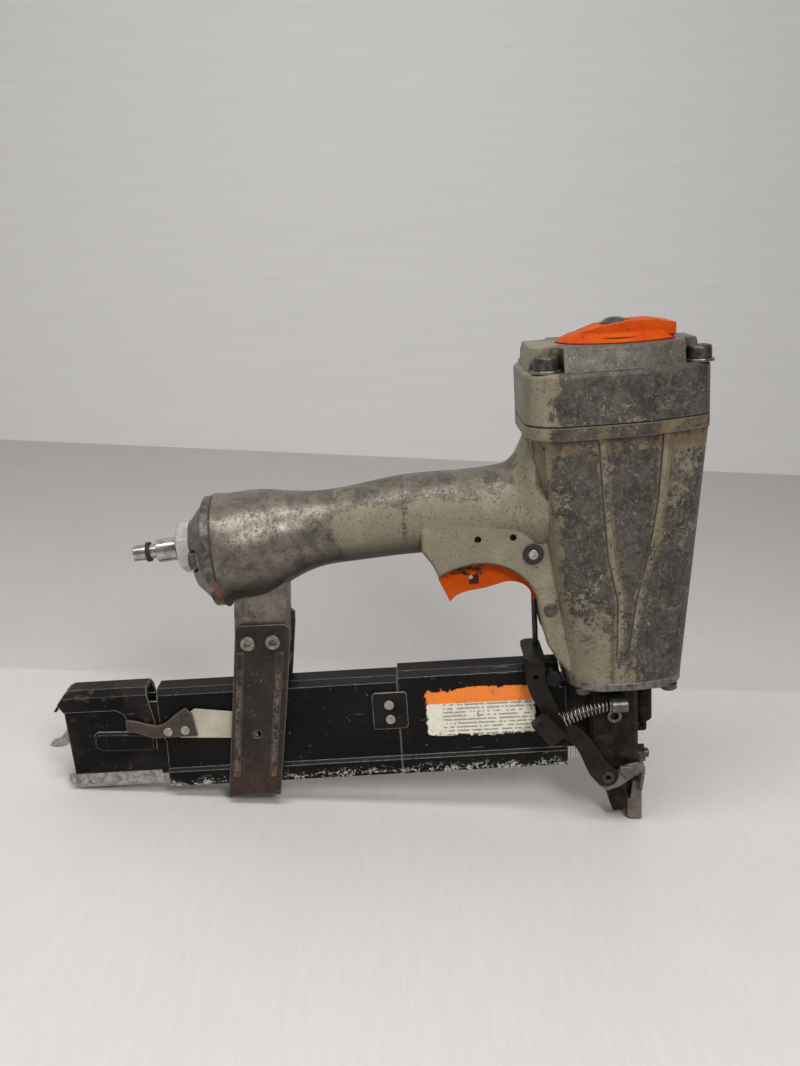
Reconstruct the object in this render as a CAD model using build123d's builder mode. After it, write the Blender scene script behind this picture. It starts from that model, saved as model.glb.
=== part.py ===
"""Pneumatic medium-crown staple gun, one STEP file per physical piece.

Millimetres. +X is forward (towards the head), +Y is the left side, +Z is up.
The origin is on the driver's line, at the level of the work-contact foot's sole.
Heights below are written from a datum 2.5 mm under the sole; save() lowers every part by that.
"""

import os
from math import cos, pi, sin, sqrt

from build123d import *

os.makedirs("parts", exist_ok=True)

# Head barrel and cap
plate_bottom_z = 84.5
plate_top_z = 88.5
flange_z = 211.0
seam_z = 217.0
gasket = 0.6
cap_ledge_z = 241.0
cap_top_z = 251.5
cap_screw_spots = ((-36.0, -27.5), (-36.0, 27.5), (35.2, -17.5), (35.2, 17.5))
base_bolt_spots = ((-21.0, -19.5), (-21.0, 19.5), (21.5, -18.0), (21.5, 18.0))

# Cylinder group, all on the driver's line
bore_r = 19.5
sleeve_r = 21.5
valve_chamber_r = 31.0
piston_z = 190.0
blade_tip_z = 87.4

# Handle
end_tilt = 3.8
handle_end = (-195.0, 160.4)
handle_end_r = 28.5
valve_x = -61.2
pivot_x, pivot_z = -43.5, 154.2
lever_x, lever_z = -73.5, 142.0

# Nose and work contact
sole_z = 2.5
clamp_z = 36.6
nose_exit_z = 8.4
parting_x = -2.7
channel_y = 5.8
foot_plate_y = 13.8
arm_y = 15.6
sheet = 1.6
arm_pin_x, arm_pin_z = -8.8, 32.8
rod_x = -41.8

# Magazine
mag_y = 8.0
flange_y = 9.8
front_box = (-113.0, -28.0)
mid_box = (-236.0, -113.3)
rail_y = 3.8
staple_y = 5.5
staple_top_z = 82.0
hanger_y = 11.6
hanger_sheet = 1.8


def save(part, name):
    """Label one finished sub-part, set it down on the origin's level and write its STEP file."""
    placed = part.part.moved(Location((0, 0, -sole_z)))
    placed.label = name
    export_step(placed, f"parts/{name}.step")


def head_plan(rear, middle, front, rear_r, front_r):
    """Plan outline of the head: bowed sides that draw in towards the front."""
    with BuildSketch(Plane.XY) as plan:
        Polygon(
            rear,
            middle,
            front,
            (front[0], -front[1]),
            (middle[0], -middle[1]),
            (rear[0], -rear[1]),
            align=None,
        )
        for corner, radius in ((rear, rear_r), (middle, 40.0), (front, front_r)):
            both = plan.vertices().filter_by(lambda v: abs(v.X - corner[0]) < 0.01)
            fillet(both.filter_by(lambda v: abs(abs(v.Y) - corner[1]) < 0.01), radius)
    return plan.sketch


cap_plan = head_plan((-46.0, 39.4), (8.0, 35.6), (41.0, 23.0), 18.0, 14.0)
gasket_plan = head_plan((-45.4, 38.8), (8.0, 35.0), (40.4, 22.6), 17.4, 13.4)
upper_plan = head_plan((-43.4, 35.2), (8.0, 31.8), (38.0, 20.0), 14.0, 11.0)
top_plan = head_plan((-41.6, 32.6), (8.0, 29.4), (35.8, 18.0), 13.0, 10.0)
barrel_top_plan = head_plan((-43.5, 37.2), (8.0, 33.8), (40.7, 21.8), 18.0, 13.0)
barrel_foot_plan = head_plan((-29.0, 28.2), (5.0, 28.4), (28.6, 23.0), 20.0, 16.0)
rib_top_plan = head_plan((-44.7, 38.5), (8.2, 35.0), (41.9, 22.8), 18.5, 13.5)
rib_foot_plan = head_plan((-31.5, 30.3), (5.4, 30.2), (30.9, 24.2), 20.5, 16.5)

# Trigger guard and web: a flat-sided block below the handle, arched over the trigger.
with BuildPart() as guard:
    with BuildSketch(Plane.XZ):
        with BuildLine():
            arch = Spline(
                (-89.1, 144.4),
                (-84.3, 146.8),
                (-73.0, 149.8),
                (-63.6, 149.6),
                (-55.1, 146.6),
                (-47.6, 140.6),
                (-42.2, 131.0),
            )
            Polyline(
                arch @ 1,
                (-39.8, 116.4),
                (-37.8, 107.0),
                (-33.6, 99.3),
                (-27.2, 91.2),
                (-15.0, 90.0),
                (-15.0, 178.0),
                (-97.0, 178.0),
                (-96.6, 158.0),
                (-91.8, 151.0),
                arch @ 0,
            )
        make_face()
    extrude(amount=19.5, both=True)
    fillet(guard.faces().sort_by(Axis.Y)[0].outer_wire().edges(), 2.0)
    fillet(guard.faces().sort_by(Axis.Y)[-1].outer_wire().edges(), 2.0)

# Raised V ribs on both side faces of the barrel.
with BuildPart() as ribs:
    with BuildSketch(Plane.XY.offset(100.0)):
        add(rib_foot_plan)
    with BuildSketch(Plane.XY.offset(flange_z + 1)):
        add(rib_top_plan)
    loft()
    with BuildSketch(Plane.XZ):
        for line in (
            ((-12.6, 212), (-10.8, 182), (-8.6, 154), (-3.9, 132), (-4.4, 104)),
            ((17.6, 212), (15.1, 181), (11.2, 157), (4.8, 132), (0.8, 104)),
        ):
            with BuildLine():
                path = Polyline(*line)
                offset(path, amount=1.5, side=Side.BOTH, kind=Kind.ARC)
            make_face()
    extrude(amount=60, both=True, mode=Mode.INTERSECT)

# Main casting: tapered barrel, hollow handle, guard and rear boss.
# outline of the hollow beside the barrel's rear corner, seen from the side
neck_hollow = (
    (-41.6, 210.5),
    (-37.3, 210.5),
    (-35.3, 207.5),
    (-36.2, 195.7),
    (-36.0, 184.6),
    (-37.0, 181.2),
    (-39.6, 187.3),
    (-41.2, 199.4),
)

with BuildPart() as main_housing:
    with BuildSketch(Plane.XY.offset(plate_top_z)):
        add(barrel_foot_plan)
    with BuildSketch(Plane.XY.offset(flange_z + 0.5)):
        add(barrel_top_plan)
    loft()
    with BuildSketch(Plane.XY.offset(flange_z)):
        add(cap_plan)
    extrude(amount=seam_z - flange_z)
    add(ribs.part)
    tilted = Plane(
        origin=(handle_end[0], 0, handle_end[1]),
        x_dir=(0, 1, 0),
        z_dir=(cos(end_tilt * pi / 180), 0, sin(end_tilt * pi / 180)),
    )
    with BuildSketch(tilted):
        Ellipse(handle_end_r, handle_end_r)
    for x, z, half_z, half_y in (
        (-178.0, 162.8, 26.6, 26.0),
        (-164.0, 165.2, 23.3, 21.5),
        (-150.0, 167.8, 19.4, 18.6),
        (-128.0, 170.2, 18.7, 18.0),
        (-106.0, 172.7, 19.6, 18.8),
        (-80.0, 173.6, 19.7, 19.8),
        (-60.0, 174.4, 20.0, 20.6),
        (-51.0, 175.6, 22.0, 21.6),
        (-46.8, 178.0, 25.8, 23.2),
        (-44.2, 179.6, 29.6, 24.6),
        (-36.0, 180.0, 30.4, 26.0),
    ):
        with BuildSketch(Plane(origin=(x, 0, z), x_dir=(0, 1, 0), z_dir=(1, 0, 0))):
            Ellipse(half_y, half_z)
    loft()
    add(guard.part)
    with BuildSketch(Plane.XZ):
        Polygon((-189.8, 146), (-192.9, 107), (-167.0, 107), (-163.9, 146), align=None)
    extrude(amount=11.2, both=True)
    # air chamber of the handle
    with BuildSketch(tilted.offset(-1.0)):
        Ellipse(24.0, 24.0)
    for x, z, half_z, half_y in (
        (-178.0, 163.0, 21.6, 21.0),
        (-160.0, 166.0, 17.5, 16.5),
        (-128.0, 172.0, 14.0, 13.5),
        (-90.0, 177.0, 12.5, 14.0),
        (-50.0, 178.5, 12.5, 14.5),
        (-26.0, 180.0, 12.5, 14.5),
    ):
        with BuildSketch(Plane(origin=(x, 0, z), x_dir=(0, 1, 0), z_dir=(1, 0, 0))):
            Ellipse(half_y, half_z)
    loft(mode=Mode.SUBTRACT)
    # bore for the sleeve, opening into the chamber round it and the head valve's room
    with BuildSketch(Plane.XZ):
        Polygon(
            (0, 80),
            (sleeve_r, 80),
            (sleeve_r, 110),
            (24.0, 118),
            (valve_chamber_r, 200),
            (valve_chamber_r, 230),
            (0, 230),
            align=None,
        )
    revolve(axis=Axis.Z, mode=Mode.SUBTRACT)
    # slot between the guard's cheeks
    with BuildSketch(Plane.XZ):
        Polygon(
            (-92.5, 100), (-92.5, 159.8), (-37.5, 159.8), (-37.5, 128), (-36.9, 92), align=None
        )
    extrude(amount=12.2, both=True, mode=Mode.SUBTRACT)
    # trigger valve bore and the two cross pins that hold it
    with BuildSketch(Plane.XY.offset(150)):
        with Locations((valve_x, 0)):
            Circle(8.0)
    extrude(amount=24, mode=Mode.SUBTRACT)
    with BuildSketch(Plane.XZ):
        with Locations((valve_x - 8.4, 162.9), (valve_x + 8.4, 162.9)):
            Circle(1.6)
    extrude(amount=30, both=True, mode=Mode.SUBTRACT)
    # trigger pivot, boot recess and roll pin holes
    with BuildSketch(Plane.XZ):
        with Locations((pivot_x, pivot_z)):
            Circle(2.5)
        with Locations((-36.0, 125.1)):
            Circle(3.2)
    extrude(amount=30, both=True, mode=Mode.SUBTRACT)
    # hollow either side where the neck runs into the barrel's rear corner
    for side in (-1, 1):
        hollow = Plane(
            origin=(-38.2, side * 24.6, 196.5), x_dir=(1, side * 1.2, 0), z_dir=(-1.2, side, -0.15)
        )
        with BuildSketch(hollow):
            Polygon(*[((x + 38.2) * 1.56, side * (196.5 - z)) for x, z in neck_hollow], align=None)
        extrude(amount=6.0, mode=Mode.SUBTRACT)
    # hanger screw holes, cap screw holes, base plate bolt holes
    with BuildSketch(Plane.XZ):
        with Locations((-185.4, 115.5), (-172.9, 115.5)):
            Circle(2.5)
    extrude(amount=12, both=True, mode=Mode.SUBTRACT)
    with BuildSketch(Plane.XY.offset(seam_z)):
        with Locations(*cap_screw_spots):
            Circle(2.5)
    extrude(amount=-11, mode=Mode.SUBTRACT)
    with BuildSketch(Plane.XY.offset(plate_top_z)):
        with Locations(*base_bolt_spots):
            Circle(2.0)
    extrude(amount=12, mode=Mode.SUBTRACT)
save(main_housing, "main_housing")

# Gasket between barrel and cap.
with BuildPart() as cap_gasket:
    with BuildSketch(Plane.XY.offset(seam_z)):
        add(gasket_plan)
        Circle(valve_chamber_r, mode=Mode.SUBTRACT)
        with Locations(*cap_screw_spots):
            Circle(2.6, mode=Mode.SUBTRACT)
    extrude(amount=gasket)
save(cap_gasket, "cap_gasket")

# Cylinder cap: deep lower band, stepped top with a pocket at each corner.
with BuildPart() as cylinder_cap:
    with BuildSketch(Plane.XY.offset(seam_z + gasket)):
        add(cap_plan)
    extrude(amount=cap_ledge_z - seam_z - gasket)
    fillet(cylinder_cap.faces().sort_by(Axis.Z)[-1].edges(), 2.4)
    with BuildSketch(Plane.XY.offset(cap_ledge_z - 1)):
        add(upper_plan)
    with BuildSketch(Plane.XY.offset(cap_top_z)):
        add(top_plan)
    loft()
    fillet(cylinder_cap.faces().sort_by(Axis.Z)[-1].edges(), 1.0)
    for x, y in cap_screw_spots:
        out_x = 1 if x > 0 else -1
        out_y = 1 if y > 0 else -1
        with BuildSketch(Plane.XY.offset(cap_ledge_z)):
            with Locations((x, y)):
                Circle(7.4)
            with Locations((x + out_x * 7.4, y), (x, y + out_y * 7.4)):
                Rectangle(14.8, 14.8)
        extrude(amount=14, mode=Mode.SUBTRACT)
        with BuildSketch(Plane.XY.offset(cap_ledge_z - 30)):
            with Locations((x, y)):
                Circle(3.0)
        extrude(amount=32, mode=Mode.SUBTRACT)
    with BuildSketch(Plane.XZ):
        Polygon(
            (0, 215),
            (valve_chamber_r, 215),
            (valve_chamber_r, 236),
            (25, 242),
            (0, 242),
            align=None,
        )
    revolve(axis=Axis.Z, mode=Mode.SUBTRACT)
    with BuildSketch(Plane.XY.offset(cap_ledge_z)):
        with PolarLocations(17.0, 6):
            Circle(4.0)
        Circle(2.5)
    extrude(amount=14, mode=Mode.SUBTRACT)
save(cylinder_cap, "cylinder_cap")

with BuildPart() as cap_screws:
    with BuildSketch(Plane.XY.offset(cap_ledge_z + 1.2)):
        with Locations(*cap_screw_spots):
            Circle(5.7)
    extrude(amount=6.2)
    fillet(cap_screws.faces().group_by(Axis.Z)[-1].edges(), 1.4)
    with BuildSketch(Plane.XY.offset(cap_ledge_z + 4.2)):
        with Locations(*cap_screw_spots):
            RegularPolygon(2.9, 6)
    extrude(amount=5, mode=Mode.SUBTRACT)
    with BuildSketch(Plane.XY.offset(seam_z - 10)):
        with Locations(*cap_screw_spots):
            Circle(2.5)
    extrude(amount=cap_ledge_z + 2 - seam_z + 10)
save(cap_screws, "cap_screws")

# Exhaust deflector: low wedge with hollowed flanks, thick end forward.
with BuildPart() as exhaust_deflector:
    with BuildSketch(Plane.XY.offset(cap_top_z + 0.3)):
        with Locations((1.0, 0)):
            Ellipse(29.0, 22.5)
    with BuildSketch(Plane.XY.offset(cap_top_z + 4.0)):
        with Locations((2.5, 0)):
            Ellipse(25.5, 15.5)
    loft()
    with BuildSketch(Plane.XY.offset(cap_top_z + 2)):
        with BuildLine():
            ThreePointArc((-24, 0), (-13, 10.0), (0, 12.0))
            ThreePointArc((0, 12.0), (14, 11.6), (28, 14.6))
            Line((28, 14.6), (28, -14.6))
            ThreePointArc((28, -14.6), (14, -11.6), (0, -12.0))
            ThreePointArc((0, -12.0), (-13, -10.0), (-24, 0))
        make_face()
    extrude(amount=8.2)
    with BuildSketch(Plane.XZ):
        Polygon(
            (-34, 251.0),
            (-34, 251.8),
            (-28, 253.0),
            (-8, 258.6),
            (4, 260.3),
            (17, 260.4),
            (25.6, 258.8),
            (25.6, 251.0),
            align=None,
        )
    extrude(amount=40, both=True, mode=Mode.INTERSECT)
    with BuildSketch(Plane.XY.offset(cap_top_z)):
        Circle(19.5)
    extrude(amount=2.2, mode=Mode.SUBTRACT)
    with BuildSketch(Plane.YZ.offset(12)):
        with Locations((0, 255.4)):
            RectangleRounded(20, 4.6, 1.2)
    extrude(amount=20, mode=Mode.SUBTRACT)
    with BuildSketch(Plane.XY.offset(cap_top_z)):
        Circle(3.1)
    extrude(amount=20, mode=Mode.SUBTRACT)
    with BuildSketch(Plane.XY.offset(258.0)):
        Circle(7.0)
    extrude(amount=6, mode=Mode.SUBTRACT)
save(exhaust_deflector, "exhaust_deflector")

with BuildPart() as deflector_screw:
    with BuildSketch(Plane.XZ):
        with BuildLine():
            Line((0, 258.3), (6.5, 258.3))
            Line((6.5, 258.3), (6.5, 259.4))
            ThreePointArc((6.5, 259.4), (4.2, 261.2), (0, 261.9))
            Line((0, 261.9), (0, 258.3))
        make_face()
    revolve(axis=Axis.Z)
    with BuildSketch(Plane.XY.offset(244)):
        Circle(2.5)
    extrude(amount=14.5)
    with BuildSketch(Plane.XY.offset(260.6)):
        Rectangle(8.0, 1.3)
    extrude(amount=3, mode=Mode.SUBTRACT)
save(deflector_screw, "deflector_screw")

# Cylinder sleeve, head valve, piston, driver and bumper.
with BuildPart() as cylinder_sleeve:
    with BuildSketch(Plane.XY.offset(plate_top_z)):
        Circle(sleeve_r)
        Circle(bore_r, mode=Mode.SUBTRACT)
    extrude(amount=206 - plate_top_z)
    with BuildSketch(Plane.XY.offset(118)):
        Circle(23.2)
        Circle(sleeve_r - 0.5, mode=Mode.SUBTRACT)
    extrude(amount=2)
    with BuildSketch(Plane.XZ.offset(-30)):
        with Locations((0, 126)):
            Circle(2.0)
    extrude(amount=60, mode=Mode.SUBTRACT)
save(cylinder_sleeve, "cylinder_sleeve")

with BuildPart() as head_valve:
    with BuildSketch(Plane.XZ):
        Polygon(
            (12, 206.2),
            (24, 206.2),
            (24, 209),
            (30.7, 209),
            (30.7, 221),
            (28.5, 221),
            (28.5, 212),
            (16, 212),
            (16, 228),
            (12, 228),
            align=None,
        )
    revolve(axis=Axis.Z)
save(head_valve, "head_valve")

with BuildPart() as head_valve_spring:
    with BuildLine():
        coil = Helix(pitch=5.5, height=27.5, radius=20.6, center=(0, 0, 213.3))
    with BuildSketch(Plane(origin=coil @ 0, z_dir=coil % 0)):
        Circle(1.1)
    sweep(is_frenet=True)
save(head_valve_spring, "head_valve_spring")

with BuildPart() as piston:
    with BuildSketch(Plane.XZ):
        Polygon(
            (0, piston_z - 8),
            (9, piston_z - 8),
            (9, piston_z),
            (bore_r - 0.08, piston_z),
            (bore_r - 0.08, piston_z + 4.2),
            (16.2, piston_z + 4.2),
            (16.2, piston_z + 7.6),
            (bore_r - 0.08, piston_z + 7.6),
            (bore_r - 0.08, piston_z + 12),
            (13, piston_z + 12),
            (11, piston_z + 9),
            (0, piston_z + 9),
            align=None,
        )
    revolve(axis=Axis.Z)
    with BuildSketch(Plane.XY.offset(piston_z - 9)):
        Rectangle(1.5, 11.0)
    extrude(amount=11, mode=Mode.SUBTRACT)
save(piston, "piston")

with BuildPart() as piston_ring:
    with BuildSketch(Plane.XZ):
        with Locations((bore_r - 1.65, piston_z + 5.9)):
            Circle(1.55)
    revolve(axis=Axis.Z)
save(piston_ring, "piston_ring")

with BuildPart() as driver_blade:
    with BuildSketch(Plane.XY.offset(blade_tip_z)):
        Rectangle(1.5, 11.0)
    extrude(amount=piston_z + 2 - blade_tip_z)
save(driver_blade, "driver_blade")

with BuildPart() as bumper:
    with BuildSketch(Plane.XZ):
        Polygon(
            (10, plate_top_z + 0.1),
            (19.3, plate_top_z + 0.1),
            (19.3, 96),
            (18, 99),
            (19.3, 102),
            (18.4, 110),
            (10, 110),
            align=None,
        )
    revolve(axis=Axis.Z)
save(bumper, "bumper")

# Base plate under the barrel, and its bolts.
with BuildPart() as base_plate:
    with BuildSketch(Plane.XY.offset(plate_bottom_z)):
        add(barrel_foot_plan)
    extrude(amount=plate_top_z - plate_bottom_z)
    fillet(base_plate.faces().sort_by(Axis.Z)[0].edges(), 0.8)
    with BuildSketch(Plane.XY.offset(plate_bottom_z - 0.8)):
        with Locations((5.5, 0)):
            RectangleRounded(41, 50, 14)
    extrude(amount=1)
    with BuildSketch(Plane.XY.offset(plate_bottom_z - 2)):
        Rectangle(2.4, 12.2)
        with Locations(*base_bolt_spots):
            Circle(2.0)
    extrude(amount=8, mode=Mode.SUBTRACT)
save(base_plate, "base_plate")

with BuildPart() as base_bolts:
    for x, y in base_bolt_spots:
        under = plate_bottom_z - (0.8 if x > 0 else 0)
        with BuildSketch(Plane.XY.offset(under)):
            with Locations((x, y)):
                Circle(4.1)
        extrude(amount=-3.4)
    chamfer(base_bolts.faces().sort_by(Axis.Z)[:4].edges(), 0.7)
    with BuildSketch(Plane.XY.offset(plate_bottom_z - 3)):
        with Locations(*base_bolt_spots):
            Circle(2.0)
    extrude(amount=14)
    with BuildSketch(Plane.XY.offset(plate_bottom_z - 6)):
        with Locations(*base_bolt_spots):
            RegularPolygon(2.2, 6)
    extrude(amount=4.2, mode=Mode.SUBTRACT)
save(base_bolts, "base_bolts")

# Nose body: rear half of the drive channel, with the throat the staples come through.
with BuildPart() as nose_body:
    with BuildSketch(Plane.XY.offset(36)):
        with Locations(((parting_x - 17) / 2, 0)):
            Rectangle(17 + parting_x, 26)
    extrude(amount=plate_bottom_z - 0.8 - 36)
    chamfer(nose_body.edges().filter_by(Axis.Z).sort_by(Axis.X)[:2], 2.0)
    with BuildSketch(Plane.XZ):
        Polygon(
            (-14.5, 38),
            (-9.6, 26),
            (-7.4, 18),
            (-5.0, nose_exit_z),
            (parting_x, nose_exit_z),
            (parting_x, 38),
            align=None,
        )
    extrude(amount=8, both=True)
    with BuildSketch(Plane.YZ.offset(-45)):
        with Locations((-6.3, 64), (6.3, 64)):
            Rectangle(0.7, 36)
    extrude(amount=30)
    with BuildSketch(Plane.YZ.offset(parting_x - 0.5)):
        with Locations((0, (38 + nose_exit_z) / 2)):
            Rectangle(11.4, 38 - nose_exit_z)
    extrude(amount=2.1)
    with BuildSketch(Plane.YZ.offset(-46)):
        with Locations((0, 60.5)):
            Rectangle(11.9, 45)
    extrude(amount=48, mode=Mode.SUBTRACT)
save(nose_body, "nose_body")

# Nose front plate: closes the drive channel.
with BuildPart() as nose_front_plate:
    with BuildSketch(Plane.XY.offset(clamp_z - 6.5)):
        with Locations(((8 + parting_x) / 2, 0)):
            Rectangle(8 - parting_x, 24)
    extrude(amount=plate_bottom_z - 0.8 - clamp_z + 6.5)
    chamfer(nose_front_plate.edges().filter_by(Axis.Z).sort_by(Axis.X)[-2:], 2.5)
    with BuildSketch(Plane.XY.offset(nose_exit_z)):
        with Locations(((2.2 + parting_x) / 2, 0)):
            Rectangle(2.2 - parting_x, 16)
    extrude(amount=26)
    with BuildSketch(Plane.XY.offset(nose_exit_z - 1)):
        with Locations(((1.0 + parting_x) / 2, 0)):
            Rectangle(1.0 - parting_x, 2 * channel_y)
    extrude(amount=90, mode=Mode.SUBTRACT)
    with BuildSketch(Plane.YZ.offset(1)):
        with Locations((0, clamp_z)):
            Circle(2.5)
    extrude(amount=10, mode=Mode.SUBTRACT)
save(nose_front_plate, "nose_front_plate")

# Round latch tube with its plunger on the front plate, and the clamp bolt below it.
with BuildPart() as nose_tube:
    with BuildSketch(Plane.XY.offset(52)):
        with Locations((12.6, 0)):
            Circle(4.5)
    extrude(amount=plate_bottom_z - 0.8 - 52)
    with BuildSketch(Plane.XZ):
        Polygon((3, 51), (20, 51), (20, 58), (8, 55.2), (3, 55.2), align=None)
    extrude(amount=10, both=True, mode=Mode.SUBTRACT)
    with BuildSketch(Plane.XY.offset(50)):
        with Locations((12.8, 0)):
            Circle(2.2)
    extrude(amount=26, mode=Mode.SUBTRACT)
    with BuildSketch(Plane.XY.offset(50.5)):
        with Locations((12.8, 0)):
            Circle(1.7)
    extrude(amount=26)
    with BuildSketch(Plane.XY.offset(50.5)):
        with Locations((10.7, 0)):
            Rectangle(5.2, 5)
    extrude(amount=2.2)
save(nose_tube, "nose_tube")

with BuildPart() as nose_clamp_bolt:
    with BuildSketch(Plane.YZ.offset(8)):
        with Locations((0, clamp_z)):
            RegularPolygon(5.2, 6, rotation=30)
    extrude(amount=5)
    with BuildSketch(Plane.YZ.offset(2)):
        with Locations((0, clamp_z)):
            Circle(2.5)
    extrude(amount=13.4)
    chamfer(nose_clamp_bolt.faces().sort_by(Axis.X)[-1].edges(), 0.6)
save(nose_clamp_bolt, "nose_clamp_bolt")

# Fixed post for the work-contact spring, and the hollow sleeve below it.
with BuildPart() as spring_post:
    with BuildSketch(Plane.YZ.offset(-7.6)):
        with Locations((-20.6, 73.9)):
            Circle(3.8)
    extrude(amount=8.2)
    fillet(spring_post.edges().filter_by(GeomType.CIRCLE), 0.5)
    with BuildSketch(Plane.XZ.offset(13)):
        with Locations((-3.4, 73.1)):
            RectangleRounded(7.2, 7.6, 1)
    extrude(amount=6.5)
    with BuildSketch(Plane.XZ.offset(13)):
        with Locations((-5.2, 66.4)):
            Circle(3.5)
    extrude(amount=4.4)
    with BuildSketch(Plane.XZ.offset(13.6)):
        with Locations((-5.2, 66.4)):
            Circle(2.1)
    extrude(amount=5, mode=Mode.SUBTRACT)
save(spring_post, "spring_post")

# Work-contact arm: stamped sheet, a rounded tab folded over the magazine, and the spring's seat.
seat_plane = Plane(origin=(-38.6, -arm_y - sheet, 63.4), x_dir=(0.779, 0, 0.627), z_dir=(0, -1, 0))
with BuildPart() as contact_arm:
    with BuildSketch(Plane.XZ.offset(arm_y)):
        with BuildLine():
            left = Spline((-49.2, 99.0), (-48.6, 88.0), (-46.4, 79.5), (-41.8, 71.0), (-37.6, 64.0))
            under = Spline((-33.0, 57.0), (-29.0, 54.5), (-25.0, 50.6), (-22.0, 44.6), (-14.0, 30.0))
            toe = ThreePointArc(
                (-14.0, 30.0), (arm_pin_x + 0.8, arm_pin_z - 5.0), (-4.0, 36.0)
            )
            upper = Spline((-4.0, 36.0), (-18.6, 56.4), (-22.4, 60.6), (-29.4, 64.4))
            right = Spline((-29.4, 64.4), (-32.6, 71.0), (-36.6, 80.0), (-39.0, 89.0), (-39.3, 99.0))
            Line(left @ 1, under @ 0)
            Line(right @ 1, left @ 0)
        make_face()
    extrude(amount=sheet)
    with BuildSketch(Plane.XY.offset(99.0)):
        with Locations((-44.25, -6.6)):
            SlotOverall(31.0, 9.9, rotation=90)
    extrude(amount=sheet)
    with BuildSketch(Plane.XZ.offset(10)):
        with Locations((-44.25, 99.8)):
            Rectangle(9.9, 1.6)
    extrude(amount=arm_y + sheet - 10)
    with BuildSketch(Plane.XZ.offset(arm_y + sheet)):
        with Locations((-44, 103.3)):
            Rectangle(40, 5.4)
    extrude(amount=6, mode=Mode.SUBTRACT)
    with BuildSketch(Plane.XZ.offset(arm_y - 1)):
        with Locations((-43.9, 89.6)):
            Circle(1.4)
        with Locations((arm_pin_x, arm_pin_z)):
            Circle(2.3)
    extrude(amount=5, mode=Mode.SUBTRACT)
    with BuildSketch(seat_plane):
        Rectangle(10.2, 14.4)
    extrude(amount=7.6)
    fillet(contact_arm.faces().sort_by(Axis.Y)[0].edges(), 1.2)
    with BuildSketch(seat_plane):
        with Locations((-1.8, 0)):
            Rectangle(10.8, 11.5)
    extrude(amount=5.8, mode=Mode.SUBTRACT)
save(contact_arm, "contact_arm")

with BuildPart() as link_rod:
    with BuildSketch(Plane.XY.offset(99.0 + sheet)):
        with Locations((rod_x, 0)):
            Circle(1.4)
    extrude(amount=140.2 - 99.0 - sheet)
save(link_rod, "link_rod")

# Work-contact spring on a bowed centre line between seat and post.
coils = 13
steps = coils * 8
spring_points = []
for step in range(steps + 1):
    along = step / steps
    x = -32.2 + along * 24.3
    z = 68.0 + 5.2 * sin(along * pi / 2) + 1.6 * along
    slope = (5.2 * pi / 2 * cos(along * pi / 2) + 1.6) / 24.3
    length = sqrt(1 + slope * slope)
    turn = along * coils * 2 * pi
    radius = 3.5 - 0.6 * along
    spring_points.append(
        (
            x - radius * cos(turn) * slope / length,
            -21.6 + radius * sin(turn),
            z + radius * cos(turn) / length,
        )
    )
with BuildPart() as contact_spring:
    with BuildLine():
        wire = Spline(*spring_points)
    with BuildSketch(Plane(origin=wire @ 0, z_dir=wire % 0)):
        Circle(0.42)
    sweep(is_frenet=False)
save(contact_spring, "contact_spring")

# Contact foot: side plates round the nose, a front wall and the leg that meets the work.
with BuildPart() as contact_foot:
    for y in (-foot_plate_y - sheet, foot_plate_y):
        with BuildSketch(Plane.XZ.offset(-y - sheet)):
            Polygon(
                (-19.6, 40.3),
                (-18.2, 34.2),
                (-13.2, 27.6),
                (-9.0, 24.2),
                (-2.4, 26.4),
                (2.4, 29.8),
                (7.6, 33.4),
                (10.4, 34.0),
                (10.4, 36.6),
                (8.8, 37.8),
                (5.6, 38.8),
                (1.4, 38.0),
                (-2.6, 36.0),
                (-5.4, 33.0),
                (-12.6, 36.0),
                (-17.4, 41.2),
                align=None,
            )
        extrude(amount=sheet)
    with BuildSketch(Plane.YZ.offset(8.8)):
        Polygon(
            (15.4, 36.6),
            (15.4, 33.0),
            (8.0, 19.0),
            (-8.0, 19.0),
            (-15.4, 33.0),
            (-15.4, 36.6),
            (-6.8, 36.6),
            (-6.8, 25.0),
            (6.8, 25.0),
            (6.8, 36.6),
            align=None,
        )
    extrude(amount=1.6)
    with BuildSketch(Plane.XY.offset(sole_z)):
        with Locations((6.6, 0)):
            Rectangle(7.4, 14)
    extrude(amount=24.0 - sole_z)
    with BuildSketch(Plane.XZ):
        Polygon((1, 1), (1, 5.6), (6.4, 1), align=None)
        Polygon((2, 14), (2, 30), (6.6, 30), (4.4, 14), align=None)
    extrude(amount=10, both=True, mode=Mode.SUBTRACT)
    with BuildSketch(Plane.XZ.offset(-20)):
        with Locations((arm_pin_x, arm_pin_z)):
            Circle(2.3)
    extrude(amount=40, mode=Mode.SUBTRACT)
    with BuildSketch(Plane.XZ.offset(foot_plate_y + sheet)):
        Polygon((-2.6, 38.1), (3.5, 37.7), (3.4, 33.0), (1.0, 32.0), (-2.6, 35.6), align=None)
    extrude(amount=2.2)
save(contact_foot, "contact_foot")

with BuildPart() as arm_pin:
    with BuildSketch(Plane.XZ.offset(foot_plate_y)):
        with Locations((arm_pin_x, arm_pin_z)):
            Circle(2.3)
    extrude(amount=arm_y + sheet - foot_plate_y)
    with BuildSketch(Plane.XZ.offset(arm_y + sheet)):
        with Locations((arm_pin_x, arm_pin_z)):
            Circle(3.2)
    extrude(amount=0.7)
    with BuildSketch(Plane.XZ.offset(foot_plate_y)):
        with Locations((arm_pin_x, arm_pin_z)):
            Circle(1.4)
    extrude(amount=8, mode=Mode.SUBTRACT)
save(arm_pin, "arm_pin")

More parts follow.
